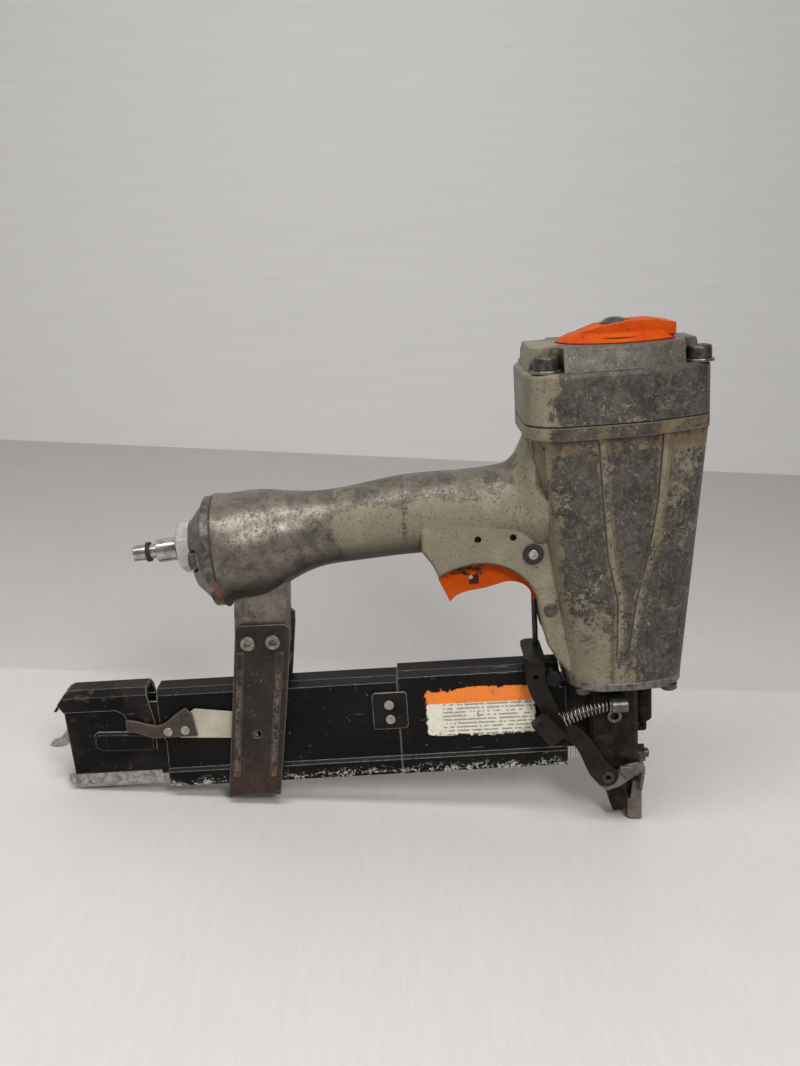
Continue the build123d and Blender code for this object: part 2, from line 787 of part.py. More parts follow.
# Trigger: channel open at the top, hung from a pin at its front.
with BuildPart() as trigger:
    with BuildSketch(Plane.XZ):
        with BuildLine():
            finger = Spline(
                (-84.2, 130.0),
                (-80.6, 133.2),
                (-66.0, 136.4),
                (-54.5, 138.8),
                (-47.6, 136.6),
                (-43.8, 128.6),
            )
            Polyline(
                finger @ 1,
                (-41.6, 129.0),
                (-39.8, 141.0),
                (-38.6, 152.4),
                (-39.4, 157.0),
                (-43.5, 159.0),
                (-50.0, 157.0),
                (-66.0, 153.2),
                (-89.0, 147.0),
                (-89.2, 141.6),
                finger @ 0,
            )
        make_face()
    extrude(amount=11.6, both=True)
    with BuildSketch(Plane.XZ):
        Polygon(
            (-87.0, 165),
            (-87.0, 142.0),
            (-82.6, 134.4),
            (-66.0, 138.4),
            (-54.5, 140.6),
            (-48.6, 139.8),
            (-45.4, 134.0),
            (-44.6, 120.0),
            (-30.0, 120.0),
            (-30.0, 165),
            align=None,
        )
    extrude(amount=9.6, both=True, mode=Mode.SUBTRACT)
    with BuildSketch(Plane.XZ):
        with Locations((pivot_x, pivot_z)):
            Circle(2.56)
        with Locations((lever_x, lever_z)):
            Circle(1.2)
    extrude(amount=20, both=True, mode=Mode.SUBTRACT)
save(trigger, "trigger")

with BuildPart() as trigger_lever:
    with BuildSketch(Plane.XZ):
        Polygon(
            (-76.4, 141.4),
            (-39.8, 141.4),
            (-39.8, 143.0),
            (-70.5, 143.0),
            (-71.2, 144.4),
            (-75.0, 144.4),
            (-76.4, 143.0),
            align=None,
        )
    extrude(amount=6, both=True)
    with BuildSketch(Plane.XZ):
        with Locations((lever_x, lever_z)):
            Circle(2.4)
    extrude(amount=6, both=True)
    with BuildSketch(Plane.XZ):
        with Locations((lever_x, lever_z)):
            Circle(1.26)
    extrude(amount=10, both=True, mode=Mode.SUBTRACT)
save(trigger_lever, "trigger_lever")

with BuildPart() as lever_pin:
    with BuildSketch(Plane.XZ.offset(-11.4)):
        with Locations((lever_x, lever_z)):
            Circle(1.2)
    extrude(amount=22.8)
save(lever_pin, "lever_pin")

with BuildPart() as trigger_pin:
    with BuildSketch(Plane.XZ.offset(-18.6)):
        with Locations((pivot_x, pivot_z)):
            Circle(2.5)
    extrude(amount=39.8)
    fillet(trigger_pin.edges().filter_by(GeomType.CIRCLE), 0.5)
save(trigger_pin, "trigger_pin")

with BuildPart() as pin_boot:
    with BuildSketch(Plane.XZ.offset(19.5)):
        with Locations((pivot_x, pivot_z)):
            Circle(4.9)
            Circle(2.5, mode=Mode.SUBTRACT)
    extrude(amount=1.5)
    fillet(pin_boot.faces().sort_by(Axis.Y)[0].outer_wire().edges(), 0.6)
save(pin_boot, "pin_boot")

with BuildPart() as guide_pin:
    with BuildSketch(Plane.XZ.offset(-19.2)):
        with Locations((-36.0, 125.1)):
            Circle(3.2)
    extrude(amount=39.2)
    fillet(guide_pin.edges().filter_by(GeomType.CIRCLE), 0.5)
    with BuildSketch(Plane.XY.offset(110)):
        with Locations((rod_x, 0)):
            Circle(3.0)
    extrude(amount=30, mode=Mode.SUBTRACT)
save(guide_pin, "guide_pin")

with BuildPart() as trigger_valve:
    with BuildSketch(Plane.XZ.offset(0)):
        Polygon(
            (valve_x + 2.1, 155),
            (valve_x + 8.0, 155),
            (valve_x + 8.0, 161.2),
            (valve_x + 6.7, 161.2),
            (valve_x + 6.7, 164.6),
            (valve_x + 8.0, 164.6),
            (valve_x + 8.0, 173.8),
            (valve_x + 5.0, 173.8),
            (valve_x + 5.0, 160.0),
            (valve_x + 2.1, 160.0),
            align=None,
        )
    revolve(axis=Axis((valve_x, 0, 0), (0, 0, 1)))
save(trigger_valve, "trigger_valve")

with BuildPart() as valve_stem:
    with BuildSketch(Plane.XY.offset(146.6)):
        with Locations((valve_x, 0)):
            Circle(2.03)
    extrude(amount=21.6)
    with BuildSketch(Plane.XY.offset(160.1)):
        with Locations((valve_x, 0)):
            Circle(4.6)
    extrude(amount=1.6)
save(valve_stem, "valve_stem")

with BuildPart() as valve_pins:
    with BuildSketch(Plane.XZ.offset(-16)):
        with Locations((valve_x - 8.4, 162.9), (valve_x + 8.4, 162.9)):
            Circle(1.6)
    extrude(amount=32)
save(valve_pins, "valve_pins")

# Handle end: gasket, cap, bolts, hex bushing and air plug, square to the tilted handle end.
end_plane = Plane(
    origin=(handle_end[0], 0, handle_end[1]),
    x_dir=(0, -1, 0),
    z_dir=(-cos(end_tilt * pi / 180), 0, -sin(end_tilt * pi / 180)),
)
end_bolt_spots = ((-17.0, 1.0), (17.0, 1.0))
inlet = (0.0, 3.6)
with BuildPart() as end_gasket:
    with BuildSketch(end_plane):
        Circle(28.0)
        Circle(23.0, mode=Mode.SUBTRACT)
    extrude(amount=1.0)
save(end_gasket, "end_gasket")

with BuildPart() as end_cap:
    with BuildSketch(end_plane.offset(1.0)):
        Circle(27.4)
    extrude(amount=4.2)
    with BuildSketch(end_plane.offset(5.2)):
        Circle(26.0)
    with BuildSketch(end_plane.offset(12.8)):
        Circle(17.5)
    loft()
    with BuildSketch(end_plane.offset(12.8)):
        with Locations(inlet):
            Circle(13.2)
    extrude(amount=1.2)
    with BuildSketch(end_plane.offset(1.0)):
        Circle(22.0)
    with BuildSketch(end_plane.offset(8.6)):
        Circle(14.5)
    loft(mode=Mode.SUBTRACT)
    with BuildSketch(end_plane):
        with Locations(inlet):
            Circle(6.6)
    extrude(amount=20, mode=Mode.SUBTRACT)
    for spot in end_bolt_spots:
        with BuildSketch(end_plane.offset(8.2)):
            with Locations(spot):
                Circle(6.0)
        extrude(amount=10, mode=Mode.SUBTRACT)
        with BuildSketch(end_plane):
            with Locations(spot):
                Circle(2.4)
        extrude(amount=20, mode=Mode.SUBTRACT)
save(end_cap, "end_cap")

with BuildPart() as washers:
    with BuildSketch(Plane.XY.offset(cap_ledge_z)):
        with Locations(*cap_screw_spots):
            Circle(6.9)
            Circle(3.0, mode=Mode.SUBTRACT)
    extrude(amount=1.2)
    with BuildSketch(end_plane.offset(8.2)):
        with Locations(*end_bolt_spots):
            Circle(5.2)
            Circle(2.4, mode=Mode.SUBTRACT)
    extrude(amount=0.9)
save(washers, "washers")

with BuildPart() as end_bolts:
    with BuildSketch(end_plane.offset(9.1)):
        with Locations(*end_bolt_spots):
            RegularPolygon(4.6, 6)
    extrude(amount=4.2)
    with BuildSketch(end_plane.offset(2.4)):
        with Locations(*end_bolt_spots):
            Circle(2.4)
    extrude(amount=6.8)
save(end_bolts, "end_bolts")

with BuildPart() as inlet_bushing:
    with BuildSketch(end_plane.offset(14.2)):
        with Locations(inlet):
            RegularPolygon(11.3, 6, major_radius=False, rotation=30)
    extrude(amount=6.6)
    with BuildSketch(end_plane.offset(4.0)):
        with Locations(inlet):
            Circle(6.6)
    extrude(amount=10.4)
    with BuildSketch(end_plane.offset(3.0)):
        with Locations(inlet):
            Circle(4.4)
    extrude(amount=20, mode=Mode.SUBTRACT)
    chamfer(inlet_bushing.faces().sort_by(Axis.X)[0].outer_wire().edges(), 0.8)
save(inlet_bushing, "inlet_bushing")

plug_plane = end_plane.offset(20.8)
with BuildPart() as air_plug:
    for start, stop, radius in (
        (-8.0, 0.0, 4.4),
        (0.0, 1.6, 4.7),
        (1.6, 11.2, 5.85),
        (11.2, 15.2, 3.6),
        (15.2, 17.0, 3.0),
        (17.0, 23.4, 3.95),
    ):
        with BuildSketch(plug_plane.offset(start)):
            with Locations(inlet):
                Circle(radius)
        extrude(amount=stop - start)
    with BuildSketch(plug_plane.offset(-9.0)):
        with Locations(inlet):
            Circle(2.3)
    extrude(amount=40, mode=Mode.SUBTRACT)
save(air_plug, "air_plug")

with BuildPart() as plug_seal:
    with BuildSketch(plug_plane.offset(15.2)):
        with Locations(inlet):
            Circle(4.9)
            Circle(3.0, mode=Mode.SUBTRACT)
    extrude(amount=1.8)
save(plug_seal, "plug_seal")

# Magazine housings: folded sheet, rolled rim along the bottom.
def shell(top):
    """Outer and inner outline of a magazine housing whose top is at the given height."""
    outer = [(flange_y, 37.3), (flange_y, 45.4), (mag_y, 46.8), (mag_y, top - 2.9), (5.2, top)]
    inner = [(8.5, 36.0), (8.5, 44.8), (6.7, 46.2), (6.7, top - 3.5), (4.6, top - 1.3)]
    return (
        outer + [(-y, z) for y, z in reversed(outer)],
        inner + [(-y, z) for y, z in reversed(inner)],
    )


for label, ends, top in (
    ("magazine_front", front_box, 92.5),
    ("magazine_middle", mid_box, 90.4),
):
    outer, inner = shell(top)
    with BuildPart() as housing:
        with BuildSketch(Plane.YZ.offset(ends[0])):
            Polygon(*outer, align=None)
        extrude(amount=ends[1] - ends[0])
        with BuildSketch(Plane.YZ.offset(ends[0] - 1)):
            Polygon(*inner, align=None)
        extrude(amount=ends[1] - ends[0] + 2, mode=Mode.SUBTRACT)
        if label == "magazine_front":
            with BuildSketch(Plane.XZ):
                Polygon((-31.2, 80), (-31.2, 100), (-20, 100), (-20, 80), align=None)
            extrude(amount=20, both=True, mode=Mode.SUBTRACT)
        else:
            with BuildSketch(Plane.XZ):
                Polygon((-240, 30), (-234.6, 30), (-233.8, 62), (-236, 68), (-240, 68), align=None)
            extrude(amount=20, both=True, mode=Mode.SUBTRACT)
    save(housing, label)

with BuildPart() as joint_plates:
    for y in (-mag_y - 1.2, mag_y):
        with BuildSketch(Plane.XZ.offset(-y - 1.2)):
            with Locations((-117.6, 72.6)):
                RectangleRounded(17.8, 20.0, 2.0)
        extrude(amount=1.2)
save(joint_plates, "joint_plates")

with BuildPart() as joint_rivets:
    for side in (-1, 1):
        with BuildSketch(Plane.XZ.offset(side * (mag_y + 1.2))):
            with Locations((-118.0, 75.9), (-117.6, 68.0)):
                Circle(2.5)
        extrude(amount=side * 0.9)
    fillet(joint_rivets.faces().filter_by(Axis.Y).edges(), 0.35)
save(joint_rivets, "joint_rivets")

with BuildPart() as warning_label:
    with BuildSketch(Plane.XZ.offset(mag_y)):
        Polygon(
            (-99.0, 82.6),
            (-94.0, 83.6),
            (-44.0, 82.0),
            (-41.6, 78.6),
            (-41.8, 56.0),
            (-46.0, 54.0),
            (-96.0, 56.8),
            (-100.6, 58.4),
            (-100.2, 80.0),
            align=None,
        )
    extrude(amount=0.2)
save(warning_label, "warning_label")

with BuildPart() as guide_boss:
    with BuildSketch(Plane.XZ.offset(mag_y)):
        with Locations((-34.8, 87.0)):
            Circle(4.2)
    extrude(amount=6.8)
    fillet(guide_boss.faces().sort_by(Axis.Y)[0].edges(), 0.8)
save(guide_boss, "guide_boss")

# Sliding rear section: rail, body, cover, shoe, pull hook, staples and pusher.
with BuildPart() as staple_rail:
    with BuildSketch(Plane.YZ.offset(-276)):
        with Locations((0, 60.6)):
            Rectangle(2 * rail_y, 39.4)
        with Locations((0, 59.4)):
            Rectangle(2 * rail_y - 2.4, 39.4, mode=Mode.SUBTRACT)
    extrude(amount=272)
save(staple_rail, "staple_rail")

with BuildPart() as staples:
    with BuildSketch(Plane.YZ.offset(-101)):
        with Locations((0, (staple_top_z + 38.8) / 2)):
            Rectangle(2 * staple_y, staple_top_z - 38.8)
        with Locations((0, (staple_top_z + 38.8) / 2 - 1.4)):
            Rectangle(2 * staple_y - 2.8, staple_top_z - 38.8, mode=Mode.SUBTRACT)
    extrude(amount=99.8)
save(staples, "staples")

with BuildPart() as pusher:
    with BuildSketch(Plane.YZ.offset(-122)):
        with Locations((0, 63.4)):
            Rectangle(2 * staple_y, 46)
        with Locations((0, 60.8)):
            Rectangle(2 * rail_y + 0.6, 40.2, mode=Mode.SUBTRACT)
    extrude(amount=20.6)
    with BuildSketch(Plane.YZ.offset(-118)):
        with Locations((0, 39.9)):
            Rectangle(2 * staple_y, 1.6)
        with Locations((0, 46.0)):
            Rectangle(2.4, 13.0)
    extrude(amount=12)
    with BuildSketch(Plane.XZ):
        with Locations((-112, 59.0)):
            Circle(8.2)
    extrude(amount=2, both=True, mode=Mode.SUBTRACT)
save(pusher, "pusher")

with BuildPart() as pusher_spring:
    with BuildSketch(Plane.XZ.offset(-2.2)):
        with Locations((-112, 59.0)):
            Circle(8.2)
            Circle(3.0, mode=Mode.SUBTRACT)
    extrude(amount=4.4)
save(pusher_spring, "pusher_spring")

with BuildPart() as rear_slide_body:
    with BuildSketch(Plane.XZ):
        Polygon(
            (-285.0, 84),
            (-283.4, 39.4),
            (-222, 39.4),
            (-222, 84),
            align=None,
        )
    extrude(amount=6.4, both=True)
    with BuildSketch(Plane.YZ.offset(-276)):
        with Locations((0, 66)):
            Rectangle(10.8, 60)
    extrude(amount=70, mode=Mode.SUBTRACT)
    with BuildSketch(Plane.XZ.offset(6.4)):
        Polygon(
            (-271.4, 66.0),
            (-269.0, 68.6),
            (-255.0, 68.0),
            (-239.4, 66.6),
            (-239.6, 58.0),
            (-242.0, 57.0),
            (-268.0, 57.8),
            (-271.0, 60.4),
            align=None,
        )
    extrude(amount=1.8)
    chamfer(rear_slide_body.faces().sort_by(Axis.Y)[0].edges(), 1.2)
save(rear_slide_body, "rear_slide_body")

with BuildPart() as rear_slide_cover:
    with BuildSketch(Plane.YZ.offset(-290)):
        Polygon(
            (8.3, 60), (8.3, 88.6), (5.4, 92.0), (-5.4, 92.0), (-8.3, 88.6), (-8.3, 60), align=None
        )
        Polygon(
            (6.5, 59),
            (6.5, 87.6),
            (4.4, 90.2),
            (-4.4, 90.2),
            (-6.5, 87.6),
            (-6.5, 59),
            align=None,
            mode=Mode.SUBTRACT,
        )
    extrude(amount=55)
    with BuildSketch(Plane.XZ):
        Polygon(
            (-287.4, 85.4),
            (-283.6, 90.4),
            (-279.0, 93.0),
            (-241.6, 93.0),
            (-238.0, 72.0),
            (-251.6, 71.6),
            (-253.6, 78.2),
            (-257.6, 80.8),
            (-284.6, 81.0),
            align=None,
        )
    extrude(amount=20, both=True, mode=Mode.INTERSECT)
    with BuildSketch(Plane.XZ):
        Polygon(
            (-282.5, 92.0),
            (-286.8, 86.0),
            (-291.6, 79.8),
            (-289.8, 79.6),
            (-285.6, 85.2),
            (-282.5, 90.2),
            align=None,
        )
    extrude(amount=3.2, both=True)
save(rear_slide_cover, "rear_slide_cover")

with BuildPart() as bottom_shoe:
    with BuildSketch(Plane.YZ.offset(-286.6)):
        Polygon(
            (8.2, 41.2),
            (8.2, 46.2),
            (6.5, 46.2),
            (6.5, 39.4),
            (-6.5, 39.4),
            (-6.5, 46.2),
            (-8.2, 46.2),
            (-8.2, 41.2),
            (-6.6, 38.0),
            (6.6, 38.0),
            align=None,
        )
    extrude(amount=64.6)
    with BuildSketch(Plane.XZ):
        Polygon((-288, 36), (-288, 43.5), (-280.5, 36), align=None)
        Polygon((-238, 44.2), (-238, 48), (-220, 48), (-220, 44.2), align=None)
    extrude(amount=20, both=True, mode=Mode.SUBTRACT)
save(bottom_shoe, "bottom_shoe")

with BuildPart() as pull_hook:
    with BuildSketch(Plane.XZ.offset(-4)):
        with BuildLine():
            crown = Spline((-285.4, 70.6), (-288.4, 66.4), (-291.0, 63.4), (-296.0, 61.6))
            belly = Spline((-296.0, 61.6), (-291.6, 60.4), (-287.4, 61.0), (-285.0, 62.6))
            Line(belly @ 1, crown @ 0)
        make_face()
    extrude(amount=8)
save(pull_hook, "pull_hook")

# Latch: leaf strip under the hanger, lever riveted to its end.
with BuildPart() as latch_strip:
    with BuildSketch(Plane.XZ.offset(9.0)):
        Polygon((-226, 74.4), (-217, 80.0), (-186, 75.6), (-186, 62.0), (-226, 64.6), align=None)
    extrude(amount=0.7)
    with BuildSketch(Plane.XZ.offset(mag_y + 0.3)):
        with Locations((-190, 68.6)):
            Circle(3.2)
    extrude(amount=1.0)
save(latch_strip, "latch_strip")

with BuildPart() as latch_lever:
    with BuildSketch(Plane.XZ.offset(9.7)):
        with BuildLine():
            top_edge = Spline(
                (-252.4, 76.2), (-245.0, 74.6), (-235.0, 72.6), (-229.0, 76.2), (-221.2, 81.2)
            )
            Polyline(
                top_edge @ 1,
                (-218.4, 77.6),
                (-216.6, 65.6),
                (-239.6, 65.6),
                (-246.0, 68.4),
                (-252.4, 70.0),
                top_edge @ 0,
            )
        make_face()
    extrude(amount=1.4)
save(latch_lever, "latch_lever")

with BuildPart() as latch_rivets:
    with BuildSketch(Plane.XZ.offset(11.1)):
        with Locations((-231.4, 68.9), (-222.6, 69.2)):
            Circle(2.4)
    extrude(amount=0.8)
    fillet(latch_rivets.faces().sort_by(Axis.Y)[:2].edges(), 0.35)
save(latch_rivets, "latch_rivets")

# Hanger: a plate each side of the magazine, joined above it and screwed to the boss.
with BuildPart() as hanger_bracket:
    for side in (-1, 1):
        with BuildSketch(Plane.XZ.offset(side * hanger_y)):
            with BuildLine():
                Polyline(
                    (-203.9, 31.0),
                    (-197.6, 75.0),
                    (-191.6, 119.0),
                    (-191.2, 122.4),
                    (-188.6, 124.4),
                    (-166.4, 124.0),
                    (-164.0, 121.6),
                    (-164.3, 116.0),
                    (-169.6, 78.0),
                    (-176.9, 31.2),
                )
                ThreePointArc((-176.9, 31.2), (-190.4, 32.0), (-203.9, 31.0))
            make_face()
        extrude(amount=side * hanger_sheet)
        with BuildSketch(Plane.XZ.offset(side * (hanger_y + hanger_sheet))):
            Polygon((-191.2, 110), (-188.4, 110), (-196.9, 43), (-199.9, 43), align=None)
            Polygon((-171.6, 109), (-168.8, 109), (-178.4, 42), (-181.3, 42), align=None)
        extrude(amount=side * 1.0)
    rib_y = hanger_y + hanger_sheet + 1.0
    rib_tops = [f for f in hanger_bracket.faces() if abs(abs(f.center().Y) - rib_y) < 0.01]
    fillet([e for f in rib_tops for e in f.edges()], 0.7)
    with BuildSketch(Plane.XZ):
        Polygon((-193.6, 97.0), (-193.2, 99.2), (-167.5, 99.2), (-167.9, 97.0), align=None)
    extrude(amount=hanger_y + 0.5, both=True)
    for side in (-1, 1):
        with BuildSketch(Plane.XZ.offset(side * mag_y)):
            with Locations((-178.5, 55.0)):
                Circle(4.0)
        extrude(amount=side * (hanger_y - mag_y))
    with BuildSketch(Plane.XZ):
        with Locations((-185.4, 115.5), (-172.9, 115.5)):
            Circle(2.6)
    extrude(amount=30, both=True, mode=Mode.SUBTRACT)
    for side in (-1, 1):
        with BuildSketch(Plane.XZ.offset(side * (hanger_y - 0.2))):
            with Locations((-185.8, 65.9)):
                Circle(2.1)
        extrude(amount=side * 5, mode=Mode.SUBTRACT)
save(hanger_bracket, "hanger_bracket")

with BuildPart() as hanger_screws:
    for side in (-1, 1):
        with BuildSketch(Plane.XZ.offset(side * (hanger_y + hanger_sheet))):
            with Locations((-185.4, 115.5), (-172.9, 115.5)):
                Circle(3.7)
        extrude(amount=side * 2.6)
    fillet(hanger_screws.edges().filter_by(GeomType.CIRCLE), 0.4)
    for side in (-1, 1):
        with BuildSketch(Plane.XZ.offset(side * (hanger_y + hanger_sheet + 1))):
            with Locations((-185.4, 115.5), (-172.9, 115.5)):
                RegularPolygon(2.0, 6)
        extrude(amount=side * 3, mode=Mode.SUBTRACT)
        with BuildSketch(Plane.XZ.offset(side * 3)):
            with Locations((-185.4, 115.5), (-172.9, 115.5)):
                Circle(2.5)
        extrude(amount=side * (hanger_y + hanger_sheet - 2.5))
save(hanger_screws, "hanger_screws")
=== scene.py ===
import math

import bpy
from mathutils import Matrix, Vector

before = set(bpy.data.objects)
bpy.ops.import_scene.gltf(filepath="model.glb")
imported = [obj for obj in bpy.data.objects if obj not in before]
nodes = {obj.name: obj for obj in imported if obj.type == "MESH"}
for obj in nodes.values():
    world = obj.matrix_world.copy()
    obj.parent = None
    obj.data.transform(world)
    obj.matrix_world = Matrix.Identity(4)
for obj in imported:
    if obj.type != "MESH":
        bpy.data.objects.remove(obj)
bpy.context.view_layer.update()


class Wire:
    # one socket of a material, so that shader sums read as sums
    def __init__(self, finish, socket):
        self.finish = finish
        self.socket = socket

    def sums(self, operation, first, second):
        return self.finish.node("ShaderNodeMath", {"operation": operation}, {0: first, 1: second})

    def __add__(self, other): return self.sums("ADD", self, other)
    def __radd__(self, other): return self.sums("ADD", other, self)
    def __sub__(self, other): return self.sums("SUBTRACT", self, other)
    def __rsub__(self, other): return self.sums("SUBTRACT", other, self)
    def __mul__(self, other): return self.sums("MULTIPLY", self, other)
    def __rmul__(self, other): return self.sums("MULTIPLY", other, self)
    def __truediv__(self, other): return self.sums("DIVIDE", self, other)
    def __abs__(self): return self.sums("ABSOLUTE", self, 0.0)

    def upTo(self, other): return self.sums("MINIMUM", self, other)
    def atLeast(self, other): return self.sums("MAXIMUM", self, other)

    def fade(self, low, high, start=0.0, end=1.0):
        # smooth step from start to end as the value goes from low to high
        return self.finish.node("ShaderNodeMapRange", {"interpolation_type": "SMOOTHSTEP"},
                                {0: self, 1: low, 2: high, 3: start, 4: end})


class Finish:
    # one material: its nodes come from node(), and set() feeds the shader
    def __init__(self, name):
        self.data = bpy.data.materials.new(name)
        self.data.use_nodes = True
        self.tree = self.data.node_tree
        self.shader = self.tree.nodes["Principled BSDF"]
        self.place = self.node("ShaderNodeTexCoord", out=3)
        self.facing = self.node("ShaderNodeTexCoord", out=1)

    def node(self, kind, settings=None, sockets=None, out=0):
        made = self.tree.nodes.new(kind)
        for key, value in (settings or {}).items():
            if key == "stops":
                ramp = made.color_ramp
                while len(ramp.elements) < len(value):
                    ramp.elements.new(0.5)
                for element, (spot, colour) in zip(ramp.elements, value):
                    element.position = spot
                    element.color = (*colour, 1.0)
            else:
                setattr(made, key, value)
        for key, value in (sockets or {}).items():
            self.feed(made.inputs[key], value)
        return Wire(self, made.outputs[out])

    def feed(self, target, value):
        if isinstance(value, Wire):
            self.tree.links.new(value.socket, target)
        elif isinstance(value, tuple) and len(value) == 3 and target.type == "RGBA":
            target.default_value = (*value, 1.0)
        else:
            target.default_value = value

    def set(self, **values):
        for key, value in values.items():
            self.feed(self.shader.inputs[key.replace("_", " ")], value)
        return self

    def axes(self, wire=None):
        # the point's x, y and z in millimetres
        split = self.node("ShaderNodeSeparateXYZ", {}, {0: wire or self.place}).socket.node
        return [Wire(self, split.outputs[i]) * 1000.0 for i in range(3)]

    def normalAxes(self):
        split = self.node("ShaderNodeSeparateXYZ", {}, {0: self.facing}).socket.node
        return [Wire(self, split.outputs[i]) for i in range(3)]

    def noise(self, sizeMm, detail=4.0, rough=0.55, warp=0.0, stretch=None, shift=0.0):
        # cloudy noise whose features are about sizeMm across, 0 to 1
        spot = self.place
        if stretch or shift:
            spot = self.node("ShaderNodeMapping", {}, {0: spot, 1: (shift, shift, shift), 3: stretch or (1, 1, 1)})
        return self.node("ShaderNodeTexNoise", {},
                         {"Vector": spot, "Scale": 1000.0 / sizeMm, "Detail": detail,
                          "Roughness": rough, "Distortion": warp})

    def cells(self, sizeMm, kind="F1", shift=0.0):
        spot = self.node("ShaderNodeMapping", {}, {0: self.place, 1: (shift, shift, shift)})
        return self.node("ShaderNodeTexVoronoi", {"feature": kind}, {"Vector": spot, "Scale": 1000.0 / sizeMm})

    def mixed(self, first, second, amount):
        return self.node("ShaderNodeMix", {"data_type": "RGBA"}, {0: amount, 6: first, 7: second}, 2)

    def edges(self, radiusMm):
        # 1 on edges and corners, 0 on flats
        soft = self.node("ShaderNodeBevel", {"samples": 6}, {0: radiusMm / 1000.0})
        hard = self.node("ShaderNodeNewGeometry", out=1)
        same = self.node("ShaderNodeVectorMath", {"operation": "DOT_PRODUCT"}, {0: soft, 1: hard}, 1)
        return (1.0 - same).fade(0.01, 0.16)

    def creases(self, reachMm):
        # 1 in corners and creases, 0 in the open (ambient occlusion); used to paint shade there, and on the castings
        # also to place brown stains
        open_ = self.node("ShaderNodeAmbientOcclusion", {"samples": 6}, {"Distance": reachMm / 1000.0}, 1)
        return 1.0 - open_

    def rounded(self, radiusMm):
        return self.node("ShaderNodeBevel", {"samples": 6}, {0: radiusMm / 1000.0})

    def bumped(self, height, depthMm, normal=None, strength=1.0):
        sockets = {"Strength": strength, "Distance": depthMm / 1000.0, "Height": height}
        if normal is not None:
            sockets["Normal"] = normal
        return self.node("ShaderNodeBump", {}, sockets)


def wear(finish, *names):
    # gives a finish to CAD nodes
    for name in names:
        mesh = nodes[name].data
        mesh.materials.clear()
        mesh.materials.append(finish.data)


# camera, lights and backdrop
view = {
    "place": (-0.0959, -0.5018, 0.2957),
    "right": (0.99795, 0.00460, -0.06379),
    "down": (-0.06040, -0.26023, -0.96365),
    "forward": (-0.02103, 0.96553, -0.25942),
    "lens": 35.46,
    "floorTilt": 6.9,
    "cardAt": 0.157,
    "wallAt": 0.95,
    "wallTurn": 3.5,
    "floorColour": (0.680, 0.650, 0.640),
    "cardColour": (0.560, 0.558, 0.552),
    "wallColour": (0.860, 0.857, 0.850),
}


def makeCamera():
    data = bpy.data.cameras.new("viewCamera")
    data.sensor_fit = "VERTICAL"
    data.sensor_height = 36.0
    data.lens = view["lens"]
    data.clip_start = 0.01
    camera = bpy.data.objects.new("viewCamera", data)
    right, down, forward = (Vector(view[k]).normalized() for k in ("right", "down", "forward"))
    turn = Matrix((right, -down, -forward)).transposed().to_4x4()
    camera.matrix_world = Matrix.Translation(Vector(view["place"])) @ turn
    bpy.context.scene.collection.objects.link(camera)
    bpy.context.scene.camera = camera
    print("camera at", tuple(round(v, 4) for v in camera.location))


def makeLight(name, place, target, size, power, colour=(1, 1, 1)):
    data = bpy.data.lights.new(name, "AREA")
    data.shape = "RECTANGLE"
    data.size, data.size_y = size
    data.energy = power
    data.color = colour
    lamp = bpy.data.objects.new(name, data)
    lamp.location = place
    lamp.rotation_euler = (Vector(target) - Vector(place)).to_track_quat("-Z", "Y").to_euler()
    bpy.context.scene.collection.objects.link(lamp)


def slab(name, corners, finish):
    mesh = bpy.data.meshes.new(name)
    mesh.from_pydata(corners, [], [tuple(range(len(corners)))])
    made = bpy.data.objects.new(name, mesh)
    made.data.materials.append(finish.data)
    bpy.context.scene.collection.objects.link(made)
    return made


def makeBackdrop():
    tilt = math.radians(view["floorTilt"])
    along = Vector((math.cos(tilt), 0, -math.sin(tilt)))
    up = Vector((math.sin(tilt), 0, math.cos(tilt)))
    away = Vector((0, 1, 0))
    foot = Vector((0.006, 0, -0.0006))
    floorFinish = Finish("floorPaint")
    streak = floorFinish.noise(9.0, 3.0, 0.6, 0.0, (4.0, 0.30, 1.0))
    cloud = floorFinish.noise(120.0, 2.0)
    colour = view["floorColour"]
    tone = floorFinish.mixed(tuple(c * 0.965 for c in colour), tuple(c * 1.03 for c in colour),
                             (streak * 0.6 + cloud * 0.4).fade(0.3, 0.7))
    floorFinish.set(Base_Color=tone, Roughness=0.5)
    slab("floor", [foot + along * sx * 3 + away * sy * 3 for sx, sy in ((-1, -1), (1, -1), (1, 1), (-1, 1))],
         floorFinish)
    turn = math.radians(view["wallTurn"])
    run = along * math.cos(turn) + away * math.sin(turn)
    upright = {}
    for name in ("card", "wall"):
        finish = Finish(name + "Paint")
        band = finish.noise(30.0, 3.0, 0.5, 0.0, (0.25, 1.0, 5.0))
        colour = view[name + "Colour"]
        finish.set(Base_Color=finish.mixed(tuple(c * 0.988 for c in colour), tuple(c * 1.012 for c in colour),
                                           band.fade(0.35, 0.65)), Roughness=0.55)
        base = foot + away * view[name + "At"] + along * -0.19
        upright[name] = slab(name, [base - run * 3, base + run * 3, base + run * 3 + up * 3, base - run * 3 + up * 3],
                             finish)
    # the card only throws light on the tool: it isn't seen, so views from behind stay clear
    upright["card"].visible_camera = False
    upright["card"].visible_shadow = False


